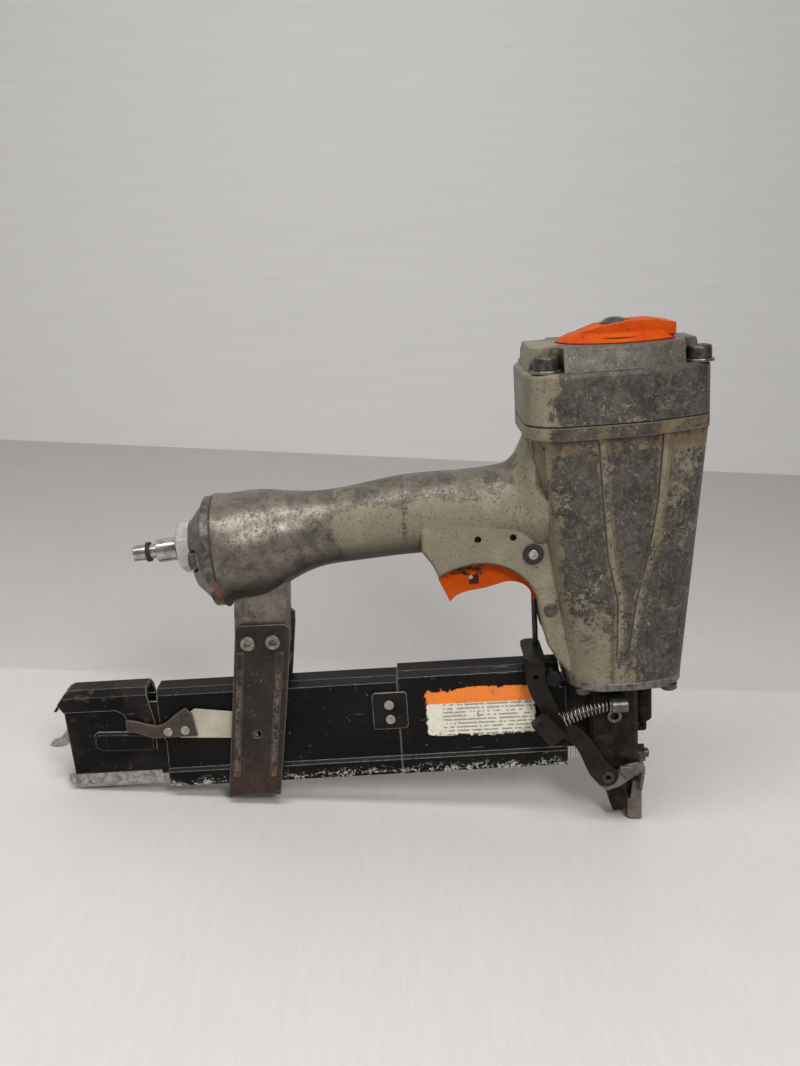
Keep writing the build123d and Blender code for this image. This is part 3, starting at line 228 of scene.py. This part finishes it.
def makeStudio():
    world = bpy.data.worlds.new("studio")
    bpy.context.scene.world = world
    world.use_nodes = True
    world.node_tree.nodes["Background"].inputs[0].default_value = (1.0, 0.99, 0.97, 1)
    world.node_tree.nodes["Background"].inputs[1].default_value = 0.15
    makeLight("topSoft", (-0.15, -0.42, 1.15), (-0.12, 0.02, 0.12), (0.9, 0.36), 7.6, (1.0, 0.985, 0.96))
    makeLight("keySoft", (0.34, -1.05, 0.86), (-0.12, 0.05, 0.12), (0.36, 0.36), 8.8, (1.0, 0.99, 0.97))
    makeLight("leftFill", (-1.0, -0.7, 0.7), (-0.15, 0, 0.12), (0.6, 0.6), 1.0, (1.0, 1.0, 1.0))
    bpy.context.scene.view_settings.view_transform = "Standard"


makeCamera()
makeBackdrop()
makeStudio()
print("camera, lights and backdrop are up")


# castings: greenish grey enamel over dark mottled metal
casting = {
    "paint": (0.198, 0.174, 0.120),
    "paintPale": (0.262, 0.240, 0.178),
    "paintStained": (0.110, 0.086, 0.054),
    "stainBrown": (0.095, 0.055, 0.024),
    "paintDirty": (0.070, 0.058, 0.040),
    "metalDark": (0.036, 0.032, 0.028),
    "metalMid": (0.080, 0.071, 0.061),
    "metalLight": (0.350, 0.320, 0.270),
    "metalWarm": (0.225, 0.198, 0.164),
    # near black for grime, pits and scratch lines, and also for painted shade in creases and under the grip
    "grimeAndShade": (0.020, 0.017, 0.014),
    "leftRib": ((0.0, -4.4), (0.26, -3.9), (0.46, -8.6), (0.72, -10.8), (1.0, -12.6)),
    "rightRib": ((0.0, 0.8), (0.26, 4.8), (0.49, 11.2), (0.71, 15.1), (1.0, 17.6)),
}


def ribLine(f, z, stops):
    # x of a rib's middle at height z
    low, high = -20.0, 20.0
    ramp = f.node("ShaderNodeValToRGB", {"stops": [(s, ((x - low) / (high - low),) * 3) for s, x in stops]},
                  {0: f.node("ShaderNodeMapRange", {}, {0: z, 1: 101.5, 2: 209.5, 3: 0.0, 4: 1.0})})
    return ramp * (high - low) + low


def makeCasting(name, part):
    f = Finish(name)
    x, y, z = f.axes()
    ny, nz = f.normalAxes()[1:]
    broad = f.noise(30.0, 4.0, 0.6, 0.4)
    middle = f.noise(9.0, 5.0, 0.66, 0.9, shift=0.3)
    fine = f.noise(2.3, 5.0, 0.72, 0.5, shift=0.7)
    tiny = f.noise(1.0, 3.0, 0.7, 0.2, shift=0.9)
    edge = f.edges(1.5)
    crease = f.creases(7.0)
    stain = crease.fade(0.22, 0.60)
    xr = x + (broad - 0.5) * 26.0 + (middle - 0.5) * 16.0 + (fine - 0.5) * 8.0
    zr = z + (broad - 0.5) * 34.0 + (middle - 0.5) * 18.0
    if part == "housing":
        inHead = x.fade(-38.0, -33.0)
        sideFace = abs(ny).fade(0.5, 0.8)
        ribGap = abs(x - ribLine(f, z, casting["leftRib"])).upTo(abs(x - ribLine(f, z, casting["rightRib"])))
        onRib = (ribGap + (fine - 0.5) * 3.0).fade(2.0, 5.0, 1.0, 0.0) * sideFace
        ribFoot = abs(ribGap - 3.6).fade(0.0, 2.0, 1.0, 0.0) * sideFace
        rearStrip = (xr + z * 0.06).fade(-29.0, -13.0, 1.0, 0.0)
        rightTop = xr.fade(11.0, 19.0) * zr.fade(130.0, 165.0)
        lowRear = zr.fade(104.0, 140.0, 1.0, 0.0) * xr.fade(-9.0, -2.0, 1.0, 0.0)
        topBorder = z.fade(199.0, 203.0) * z.fade(206.5, 205.0)
        flange = z.fade(205.0, 206.0)
        head = 0.655 - onRib * 0.17 - rearStrip * 0.24 - rightTop * 0.13 - lowRear * 0.28
        head = head - topBorder * 0.15 - flange * 0.06
        dome = (xr + z * 0.45).fade(-78.0, -56.0, 1.0, 0.0) * z.fade(112.0, 122.0)
        topStrip = (nz + (middle - 0.5) * 1.1).fade(0.38, 0.70) * x.fade(-34.0, -60.0)
        grip = 0.33 + dome * 0.44 + topStrip * 0.22
        bare = head * inHead + grip * (1.0 - inHead)
        shine = (dome * 0.95 + topStrip * 0.7).upTo(1.0) * (1.0 - inHead)
        stain = stain.atLeast(ribFoot * 0.95 * inHead).atLeast(rearStrip * 0.42 * inHead)
        stain = stain.atLeast((topBorder + flange).upTo(1.0) * 0.8 * inHead)
    else:
        topPlate = z.fade(237.0, 240.0)
        rearEnd = (xr + abs(y) * 0.10).fade(-34.0, -24.0, 1.0, 0.0)
        lowEdge = z.fade(214.0, 219.0, 1.0, 0.0)
        upperEdge = z.fade(231.0, 235.0)
        bare = 0.615 - rearEnd * 0.27 - topPlate * 0.06 - lowEdge * 0.12 + upperEdge * 0.03
        shine = topPlate * 0.40
    level = broad * 0.24 + middle * 0.30 + fine * 0.32 + tiny * 0.14 + (bare - 0.5) * 0.60 + edge * 0.10
    worn = level.fade(0.488, 0.512)
    halo = level.fade(0.43, 0.495)
    chips = f.noise(3.6, 5.0, 0.80, 1.2, shift=2.2).fade(0.640, 0.660)
    dings = f.noise(1.5, 3.0, 0.6, 0.4, shift=2.9).fade(0.70, 0.73)
    worn = worn.atLeast(chips).atLeast(dings * 0.9)
    flecks = (fine * 0.6 + tiny * 0.4).fade(0.450, 0.425) * middle.fade(0.36, 0.52)
    worn = worn * (1.0 - flecks * 0.85)

    tint = f.noise(16.0, 4.0, 0.6, shift=3.0)
    dust = f.noise(3.0, 5.0, 0.75, 0.4, shift=3.4)
    enamel = f.mixed(casting["paint"], casting["paintPale"], tint.fade(0.48, 0.62) * 0.55)
    enamel = f.mixed(enamel, casting["paintStained"], (halo * 0.42 + dust.fade(0.54, 0.68) * 0.50).upTo(1.0))
    enamel = f.mixed(enamel, casting["stainBrown"], stain * middle.fade(0.28, 0.52) * 0.85)
    enamel = f.mixed(enamel, casting["paintDirty"], f.noise(1.1, 2.0, 0.5, shift=1.4).fade(0.60, 0.66) * 0.7)
    cloud = f.noise(8.0, 7.0, 0.76, 0.8, shift=5.0)
    metal = f.mixed(casting["metalDark"], casting["metalMid"], cloud.fade(0.40, 0.60))
    speck = (f.noise(2.6, 6.0, 0.82, 1.0, shift=6.0) * 0.65 + tiny * 0.35).fade(0.52, 0.62)
    metal = f.mixed(metal, casting["metalLight"], speck * middle.fade(0.34, 0.62) * 0.72 + edge * 0.30)
    pits = f.cells(2.0, shift=0.2).fade(0.12, 0.24, 1.0, 0.0) * f.noise(13.0, 2.0, shift=8.0).fade(0.46, 0.56)
    metal = f.mixed(metal, casting["grimeAndShade"], pits * 0.7)
    warm = f.noise(9.0, 6.0, 0.7, 0.5, shift=7.0).fade(0.30, 0.64)
    polished = f.mixed(casting["metalMid"], casting["metalWarm"], warm)
    scuffs = f.noise(3.2, 5.0, 0.80, 1.8, shift=9.0).fade(0.565, 0.62)
    polished = f.mixed(polished, casting["grimeAndShade"], scuffs * 0.60)
    metal = f.mixed(metal, polished, shine)
    metal = f.mixed(metal, casting["stainBrown"], stain * dust.fade(0.46, 0.60) * 0.42)
    colour = f.mixed(enamel, metal, worn)
    # painted shade: darker in creases and corners
    colour = f.mixed(colour, casting["grimeAndShade"], crease.fade(0.30, 0.90) * 0.72)
    if part == "housing":
        # painted shade: the grip's downward-facing surfaces are darker
        undersideShade = nz.fade(-0.15, -0.80) * (1.0 - inHead)
        colour = f.mixed(colour, casting["grimeAndShade"], undersideShade * 0.78)
        seamMark = (abs(x + 105.0 + y * 0.05 + (fine - 0.5) * 9.0)).fade(0.5, 1.6, 1.0, 0.0)
        seamMark = seamMark * tiny.fade(0.42, 0.52) * z.fade(158.0, 166.0) * nz.fade(0.35, 0.75, 1.0, 0.4)
        colour = f.mixed(colour, casting["grimeAndShade"], seamMark * 0.85)
        bossStain = z.fade(124.0, 108.0) * x.fade(-146.0, -158.0)
        colour = f.mixed(colour, (0.120, 0.072, 0.030), bossStain * middle.fade(0.26, 0.54) * 0.88)
    else:
        colour = f.mixed(colour, casting["grimeAndShade"], z.fade(216.4, 214.6) * 0.5 * dust.fade(0.40, 0.55))
    lines = f.noise(1.7, 2.0, 0.5, 0.3, (0.06, 1.0, 1.0), 11.0).fade(0.700, 0.730) * middle.fade(0.44, 0.56)
    colour = f.mixed(colour, casting["grimeAndShade"], lines * 0.7)
    rough = 0.52 + (middle - 0.5) * 0.25 - speck * worn * 0.14 - shine * worn * 0.15 + crease * 0.15
    height = (1.0 - worn) * 0.6 + fine * 0.34 + speck * worn * 0.2 - pits * 0.6 - scuffs * 0.25 * worn
    f.set(Base_Color=colour, Roughness=rough, Metallic=worn * (0.25 + shine * 0.40), Specular_IOR_Level=0.36,
          Normal=f.bumped(height, 0.16, f.rounded(1.0), 0.8))
    return f


housingFinish = makeCasting("castPaintHousing", "housing")
wear(housingFinish, "main_housing")
wear(makeCasting("castPaintCap", "cap"), "cylinder_cap")
print("castings painted")


# black enamel on the magazine
magazine = {
    "black": (0.0048, 0.0044, 0.0042),
    "dusty": (0.0130, 0.0115, 0.0105),
    "bareEdge": (0.50, 0.49, 0.465),
    "bareDull": (0.14, 0.135, 0.127),
    "roughness": 0.40,
    "rimTop": 40.5,
}


def makeEnamel(name, rimWear=1.0, edgeWear=1.0, dusty=0.5):
    f = Finish(name)
    z = f.axes()[2]
    nz = f.normalAxes()[2]
    edge = f.edges(0.8)
    cloud = f.noise(34.0, 4.0, 0.6)
    ragged = f.noise(3.6, 6.0, 0.78, 0.8, (0.62, 1.0, 1.0), shift=1.0)
    fine = f.noise(1.1, 3.0, 0.7, shift=2.0)
    rim = z.fade(magazine["rimTop"] + 1.2, magazine["rimTop"] - 4.4)
    chips = (ragged * 0.66 + fine * 0.34 + rim * 0.060 * rimWear).fade(0.572, 0.596)
    # painted highlight: bright bare-metal edge lines are added along the top bend and on upward faces above the rim;
    # the other rubbed edges are wear
    highlightLine = (nz.fade(0.3, 0.8) * z.fade(52.0, 47.0)).atLeast(z.fade(74.0, 78.0) * 0.7)
    rubbed = edge * ((ragged + edge * 0.24 + highlightLine * 0.3) * edgeWear).fade(0.52, 0.66)
    scratches = f.noise(1.6, 2.0, 0.5, 0.0, (0.10, 1.0, 1.6), 3.0).fade(0.72, 0.76)
    dings = f.noise(2.4, 4.0, 0.7, 0.6, shift=4.0).fade(0.685, 0.70)
    bare = (chips * (rim * rimWear).upTo(1.0)).atLeast(rubbed).atLeast(scratches * 0.25).atLeast(dings * 0.6)
    skin = f.mixed(magazine["black"], magazine["dusty"], (cloud.fade(0.40, 0.68) * dusty).upTo(dusty * 0.5 + 0.5))
    skin = f.mixed(skin, (0.055, 0.042, 0.030), f.noise(7.0, 5.0, 0.7, shift=5.0).fade(0.58, 0.70) * 0.35 * dusty)
    metal = f.mixed(magazine["bareDull"], magazine["bareEdge"], fine.fade(0.34, 0.54))
    colour = f.mixed(skin, metal, bare)
    rough = magazine["roughness"] + (cloud - 0.5) * 0.22 + bare * 0.05
    f.set(Base_Color=colour, Roughness=rough, Metallic=bare * 0.6, Specular_IOR_Level=0.10,
          Normal=f.bumped((1.0 - bare) * 0.5 + fine * 0.10, 0.09, f.rounded(0.7), 0.6))
    return f


sheetFinish = makeEnamel("magazineEnamel")
wear(sheetFinish, "magazine_front", "magazine_middle")
wear(makeEnamel("slideEnamel", 0.2, 0.9, 5.0), "rear_slide_cover")
wear(makeEnamel("slideBodyEnamel", 0.2, 1.0, 2.0), "rear_slide_body")
wear(makeEnamel("plateEnamel", 0.0, 1.0, 1.3), "joint_plates")
print("magazine painted")


# orange plastic
orange = {
    "plastic": (0.500, 0.048, 0.0008),
    "faded": (0.520, 0.085, 0.0040),
    "dull": (0.30, 0.034, 0.002),
    # dark: scuffs and dirt, and also painted shade in creases
    "scuffAndShade": (0.020, 0.013, 0.010),
    "roughness": 0.44,
}


def makeOrange(name, scuffedTop=False):
    f = Finish(name)
    x, _, z = f.axes()
    cloud = f.noise(14.0, 4.0, 0.6)
    ragged = f.noise(4.5, 6.0, 0.72, 0.9, shift=1.0)
    fine = f.noise(0.8, 2.0, shift=2.0)
    dirt = f.noise(2.0, 4.0, 0.7, shift=4.0).fade(0.655, 0.69)
    colour = f.mixed(orange["plastic"], orange["faded"], cloud.fade(0.35, 0.7))
    colour = f.mixed(colour, orange["dull"], ragged.fade(0.54, 0.66) * 0.35)
    # dirt spots plus painted shade in creases
    dirtAndCreaseShade = dirt * 0.85 + f.creases(4.0).fade(0.4, 1.0) * 0.6
    if scuffedTop:
        rise = z + x * 0.12
        worn = (ragged * 0.5 + fine * 0.1 + rise.fade(128.5, 132.5) * 0.24 * x.fade(-58.0, -72.0)).fade(0.53, 0.56)
        pinSmudge = (abs(x + 72.0).atLeast(abs(z - 138.4))).fade(2.2, 2.6, 1.0, 0.0)
        colour = f.mixed(colour, orange["scuffAndShade"], worn.atLeast(pinSmudge) * 0.92)
    else:
        rubbed = (ragged * 0.7 + fine * 0.3 + f.edges(0.8) * 0.06).fade(0.60, 0.625)
        colour = f.mixed(colour, orange["scuffAndShade"], rubbed * 0.8)
    colour = f.mixed(colour, orange["scuffAndShade"], dirtAndCreaseShade.upTo(1.0))
    f.set(Base_Color=colour, Roughness=orange["roughness"] + ragged * 0.14, Specular_IOR_Level=0.08,
          Normal=f.bumped(ragged * 0.3 + fine * 0.25, 0.07, f.rounded(0.9), 0.6))
    return f


wear(makeOrange("deflectorPlastic"), "exhaust_deflector")
wear(makeOrange("triggerPlastic", True), "trigger")
print("orange plastic done")


# steels
def makeSteel(name, dark, light, roughness, metallic=0.85, rust=0.0, sizeMm=5.0, edgeGlow=0.5, round_=0.5, grain=0.2,
              gloss=0.5):
    f = Finish(name)
    edge = f.edges(0.7)
    cloud = f.noise(sizeMm, 6.0, 0.7, 0.5)
    patch = f.noise(sizeMm * 2.4, 5.0, 0.65, 0.8, shift=1.7)
    fine = f.noise(0.8, 3.0, 0.6, shift=2.4)
    colour = f.mixed(dark, light, (cloud.fade(0.34, 0.68) * 0.8 + edge * edgeGlow).upTo(1.0))
    rusty = patch.fade(0.62 - rust * 0.24, 0.70 - rust * 0.16) * rust
    rustTone = f.mixed((0.060, 0.022, 0.010), (0.170, 0.070, 0.030), fine.fade(0.35, 0.65))
    colour = f.mixed(colour, rustTone, rusty)
    # painted shade: darker in creases and corners
    grimeAndShade = f.creases(4.0).fade(0.35, 1.0)
    colour = f.mixed(colour, (0.014, 0.012, 0.010), grimeAndShade * 0.65)
    rough = roughness + (cloud - 0.5) * 0.2 + rusty * 0.25 + grimeAndShade * 0.12
    f.set(Base_Color=colour, Roughness=rough, Metallic=metallic - rusty * (metallic * 0.8), Specular_IOR_Level=gloss,
          Normal=f.bumped(cloud * 0.3 + fine * grain + rusty * 0.3, 0.08, f.rounded(round_), 0.6))
    return f


noseSteel = makeSteel("noseSteel", (0.008, 0.0065, 0.005), (0.036, 0.030, 0.023), 0.46, 0.30, 0.25, 6.0, gloss=0.08)
wear(noseSteel, "nose_body", "nose_front_plate", "nose_tube")
wear(makeSteel("plateSteel", (0.062, 0.058, 0.052), (0.290, 0.275, 0.245), 0.40, 0.7, 0.15, 4.0, 0.9), "base_plate")
wear(makeSteel("armSteel", (0.0080, 0.0070, 0.0062), (0.022, 0.019, 0.016), 0.42, 0.25, 0.10, 9.0, 0.9, gloss=0.2),
     "contact_arm", "guide_boss")
wear(makeSteel("postSteel", (0.075, 0.072, 0.068), (0.230, 0.222, 0.208), 0.40, 0.8, 0.1), "spring_post")
wear(makeSteel("screwSteel", (0.040, 0.034, 0.030), (0.150, 0.135, 0.118), 0.40, 0.75, 0.20, 4.0), "cap_screws")
wear(makeSteel("boltSteel", (0.045, 0.043, 0.040), (0.170, 0.162, 0.150), 0.38, 0.8, 0.25, 4.0),
     "base_bolts", "nose_clamp_bolt", "deflector_screw", "end_bolts")
wear(makeSteel("hangerScrewSteel", (0.14, 0.125, 0.105), (0.42, 0.395, 0.35), 0.36, 0.85, 0.35, 3.0), "hanger_screws")
wear(makeSteel("washerSteel", (0.12, 0.115, 0.105), (0.40, 0.385, 0.36), 0.34, 0.9, 0.2, 3.0), "washers")
wear(makeSteel("springWire", (0.16, 0.148, 0.132), (0.50, 0.47, 0.43), 0.30, 0.95, 0.15, 3.0, 0.2, 0.1, 0.1),
     "contact_spring", "head_valve_spring")
wear(makeSteel("rodSteel", (0.020, 0.018, 0.016), (0.085, 0.078, 0.070), 0.36, 0.6, 0.15, 4.0, 0.6),
     "arm_pin", "link_rod")
wear(makeSteel("rivetSteel", (0.24, 0.225, 0.20), (0.50, 0.475, 0.44), 0.40, 0.8, 0.2, 3.0),
     "joint_rivets", "latch_rivets")
wear(makeSteel("pinSteel", (0.055, 0.050, 0.040), (0.155, 0.142, 0.115), 0.42, 0.7, 0.3, 3.0),
     "guide_pin", "valve_pins")
wear(makeSteel("pivotSteel", (0.22, 0.21, 0.20), (0.60, 0.585, 0.56), 0.28, 0.95, 0.05, 2.0),
     "trigger_pin", "lever_pin", "valve_stem", "trigger_lever")
wear(makeSteel("plugSteel", (0.28, 0.265, 0.24), (0.62, 0.60, 0.56), 0.27, 0.95, 0.10, 4.0), "air_plug")
wear(makeSteel("bushingSteel", (0.42, 0.415, 0.40), (0.70, 0.69, 0.66), 0.36, 0.75, 0.08, 6.0), "inlet_bushing")
wear(makeSteel("endCapSteel", (0.060, 0.052, 0.046), (0.250, 0.230, 0.205), 0.42, 0.6, 0.32, 6.0), "end_cap")
wear(makeSteel("shoeSteel", (0.20, 0.195, 0.185), (0.60, 0.585, 0.56), 0.30, 0.9, 0.15, 4.0), "bottom_shoe")
wear(makeSteel("hookSteel", (0.22, 0.20, 0.18), (0.52, 0.48, 0.44), 0.38, 0.7, 0.25, 4.0), "pull_hook")
wear(makeSteel("railSteel", (0.16, 0.155, 0.15), (0.42, 0.41, 0.40), 0.34, 0.9, 0.15, 8.0),
     "staple_rail", "driver_blade", "pusher", "pusher_spring")
wear(makeSteel("castAluminium", (0.30, 0.30, 0.30), (0.58, 0.58, 0.58), 0.36, 0.9, 0.0, 8.0),
     "cylinder_sleeve", "head_valve", "piston", "trigger_valve")
print("steels done")


# rusty brown pressed steel
brown = {
    "paint": (0.0110, 0.0078, 0.0062),
    "lighter": (0.0270, 0.0190, 0.0145),
    "rust": (0.070, 0.029, 0.017),
    "bare": (0.240, 0.195, 0.160),
}


hangerFace = {
    # the plate's outer face, 1 mm below the tops of its ribs
    "plate": max(abs(v.co.y) for v in nodes["hanger_bracket"].data.vertices) * 1000.0 - 1.0,
}


def makeBrown(name, paint, lighter, rustAmount=1.0, bareAmount=1.0, lowRust=False, tip=False):
    f = Finish(name)
    x, y, z = f.axes()
    edge = f.edges(1.1)
    cloud = f.noise(13.0, 5.0, 0.68, 0.4)
    ragged = f.noise(3.8, 6.0, 0.76, 0.7, shift=1.0)
    fine = f.noise(1.0, 3.0, 0.6, shift=2.0)
    colour = f.mixed(paint, lighter, (cloud * 0.6 + ragged * 0.4).fade(0.38, 0.62))
    lower = z.fade(66.0, 40.0) if lowRust else 0.5
    rusty = (ragged * 0.6 + cloud * 0.4 + lower * 0.10).fade(0.54, 0.64) * rustAmount
    if tip:
        rusty = rusty.atLeast(x.fade(-259.0, -265.0) * 0.9)
    colour = f.mixed(colour, brown["rust"], rusty * 0.62)
    rubbed = (edge * (ragged + edge * 0.10 + 0.05).fade(0.44, 0.60)) * bareAmount
    nicks = f.noise(1.8, 4.0, 0.7, 0.5, shift=4.0).fade(0.655, 0.68) * bareAmount * 0.7
    if lowRust:
        ribTop = abs(y).fade(hangerFace["plate"] + 0.35, hangerFace["plate"] + 0.6) * z.fade(100.0, 96.0)
        rubbed = rubbed.atLeast(ribTop * (ragged * 0.6 + fine * 0.4).fade(0.44, 0.56) * 0.62)
    rubbed = rubbed.atLeast(nicks)
    colour = f.mixed(colour, brown["bare"], rubbed)
    # painted shade: darker in creases and corners
    grimeAndShade = f.creases(5.0).fade(0.35, 1.0)
    colour = f.mixed(colour, (0.010, 0.008, 0.007), grimeAndShade * 0.6)
    rough = 0.46 + ragged * 0.18 + rusty * 0.12
    f.set(Base_Color=colour, Roughness=rough, Metallic=rubbed * 0.6 + 0.1, Specular_IOR_Level=0.38,
          Normal=f.bumped(ragged * 0.4 + fine * 0.3 - rubbed * 0.3, 0.10, f.rounded(0.8), 0.6))
    return f


wear(makeBrown("hangerPaint", brown["paint"], brown["lighter"], 0.8, 1.0, True), "hanger_bracket")
wear(makeBrown("footPaint", (0.070, 0.057, 0.048), (0.190, 0.160, 0.138), 0.25, 1.0), "contact_foot")
wear(makeBrown("leverPaint", (0.026, 0.020, 0.017), (0.070, 0.054, 0.044), 0.8, 0.8, False, True), "latch_lever")
print("brown steel done")


# rubber, gasket, leaf strip, staples
def makePlain(name, first, second, roughness, sizeMm, metallic=0.0, dirt=0.4, round_=0.4):
    f = Finish(name)
    cloud = f.noise(sizeMm, 5.0, 0.65)
    fine = f.noise(0.9, 3.0, shift=1.0)
    spots = f.noise(2.8, 4.0, 0.7, 0.6, shift=2.0).fade(0.60, 0.68)
    colour = f.mixed(first, second, cloud.fade(0.35, 0.68))
    colour = f.mixed(colour, (0.020, 0.016, 0.012), spots * dirt)
    f.set(Base_Color=colour, Roughness=roughness + (cloud - 0.5) * 0.2, Metallic=metallic,
          Normal=f.bumped(cloud * 0.3 + fine * 0.3, 0.06, f.rounded(round_), 0.6))
    return f


wear(makePlain("blackRubber", (0.005, 0.0045, 0.004), (0.014, 0.013, 0.012), 0.62, 5.0),
     "pin_boot", "plug_seal", "bumper", "piston_ring", "cap_gasket")


def makeGasket():
    # mostly dark, red where it still sticks out at top and bottom
    f = Finish("oldGasket")
    z = f.axes()[2]
    ragged = f.noise(5.0, 5.0, 0.75, 0.6)
    left = (abs(z - 170.0).fade(17.0, 26.0) * 0.30 + ragged).fade(0.58, 0.66)
    f.set(Base_Color=f.mixed((0.020, 0.017, 0.015), (0.330, 0.042, 0.016), left), Roughness=0.6)
    return f


wear(makeGasket(), "end_gasket")
wear(makePlain("leafStrip", (0.42, 0.385, 0.300), (0.53, 0.495, 0.400), 0.42, 12.0, 0.25, 0.35), "latch_strip")
print("soft and thin parts done")


staplePitch = {"wire": 1.3, "dark": (0.16, 0.155, 0.145), "bright": (0.56, 0.55, 0.52)}


def makeStaples():
    f = Finish("collatedWire")
    x = f.axes()[0]
    saw = f.node("ShaderNodeMath", {"operation": "PINGPONG"}, {0: x, 1: staplePitch["wire"] / 2})
    groove = saw.fade(0.0, 0.16)
    cloud = f.noise(10.0, 4.0)
    colour = f.mixed(staplePitch["dark"], staplePitch["bright"], groove * (0.7 + cloud * 0.3))
    f.set(Base_Color=colour, Roughness=0.34, Metallic=0.9, Normal=f.bumped(groove, 0.2))
    return f


wear(makeStaples(), "staples")


# torn label
label = {
    "orange": (0.86, 0.215, 0.020),
    "cream": (0.74, 0.71, 0.60),
    "ink": (0.045, 0.040, 0.035),
    "bandBottom": 71.6,  # height where the orange band ends, mm
    "lineStep": 2.05,
}


def makeLabel():
    f = Finish("tornLabel")
    x, _, z = f.axes()
    ragged = f.noise(5.0, 6.0, 0.72, 0.6)
    fine = f.noise(1.2, 3.0, shift=1.0)
    slope = z - (x + 72.0) * -0.01
    band = slope.fade(label["bandBottom"] - 0.25, label["bandBottom"] + 0.25)
    colour = f.mixed(label["cream"], label["orange"], band)
    rowPlace = f.node("ShaderNodeMath", {"operation": "PINGPONG"}, {0: slope, 1: label["lineStep"] / 2})
    inRow = rowPlace.fade(0.50, 0.62)
    words = f.noise(2.0, 2.0, 0.5, 0.0, (1.0, 1.0, 0.35), 2.0).fade(0.42, 0.47)
    printed = inRow * words * (1.0 - band) * x.fade(-91.0, -90.6) * x.fade(-45.0, -45.6)
    colour = f.mixed(colour, label["ink"], printed * 0.62)
    scratch = f.noise(2.6, 6.0, 0.8, 1.4, (1.0, 1.0, 0.6), 3.0).fade(0.60, 0.63)
    colour = f.mixed(colour, label["ink"], scratch * 0.85)
    colour = f.mixed(colour, (0.30, 0.22, 0.13), ragged.fade(0.50, 0.70) * 0.35)
    topTear = (z + (ragged - 0.5) * 10.0 + (x + 92.0).fade(0.0, 24.0) * -1.5).fade(78.6, 79.2, 1.0, 0.0)
    sideTear = (x + (ragged - 0.5) * 9.0).fade(-99.4, -98.6) * (x + (ragged - 0.5) * 8.0).fade(-43.4, -44.0)
    lowTear = (z + (ragged - 0.5) * 8.0).fade(53.6, 54.2)
    f.set(Base_Color=colour, Roughness=0.5 + fine * 0.1, Alpha=topTear * sideTear * lowTear,
          Normal=f.bumped(ragged * 0.4 - scratch * 0.5, 0.05))
    return f


wear(makeLabel(), "warning_label")
print("label done")
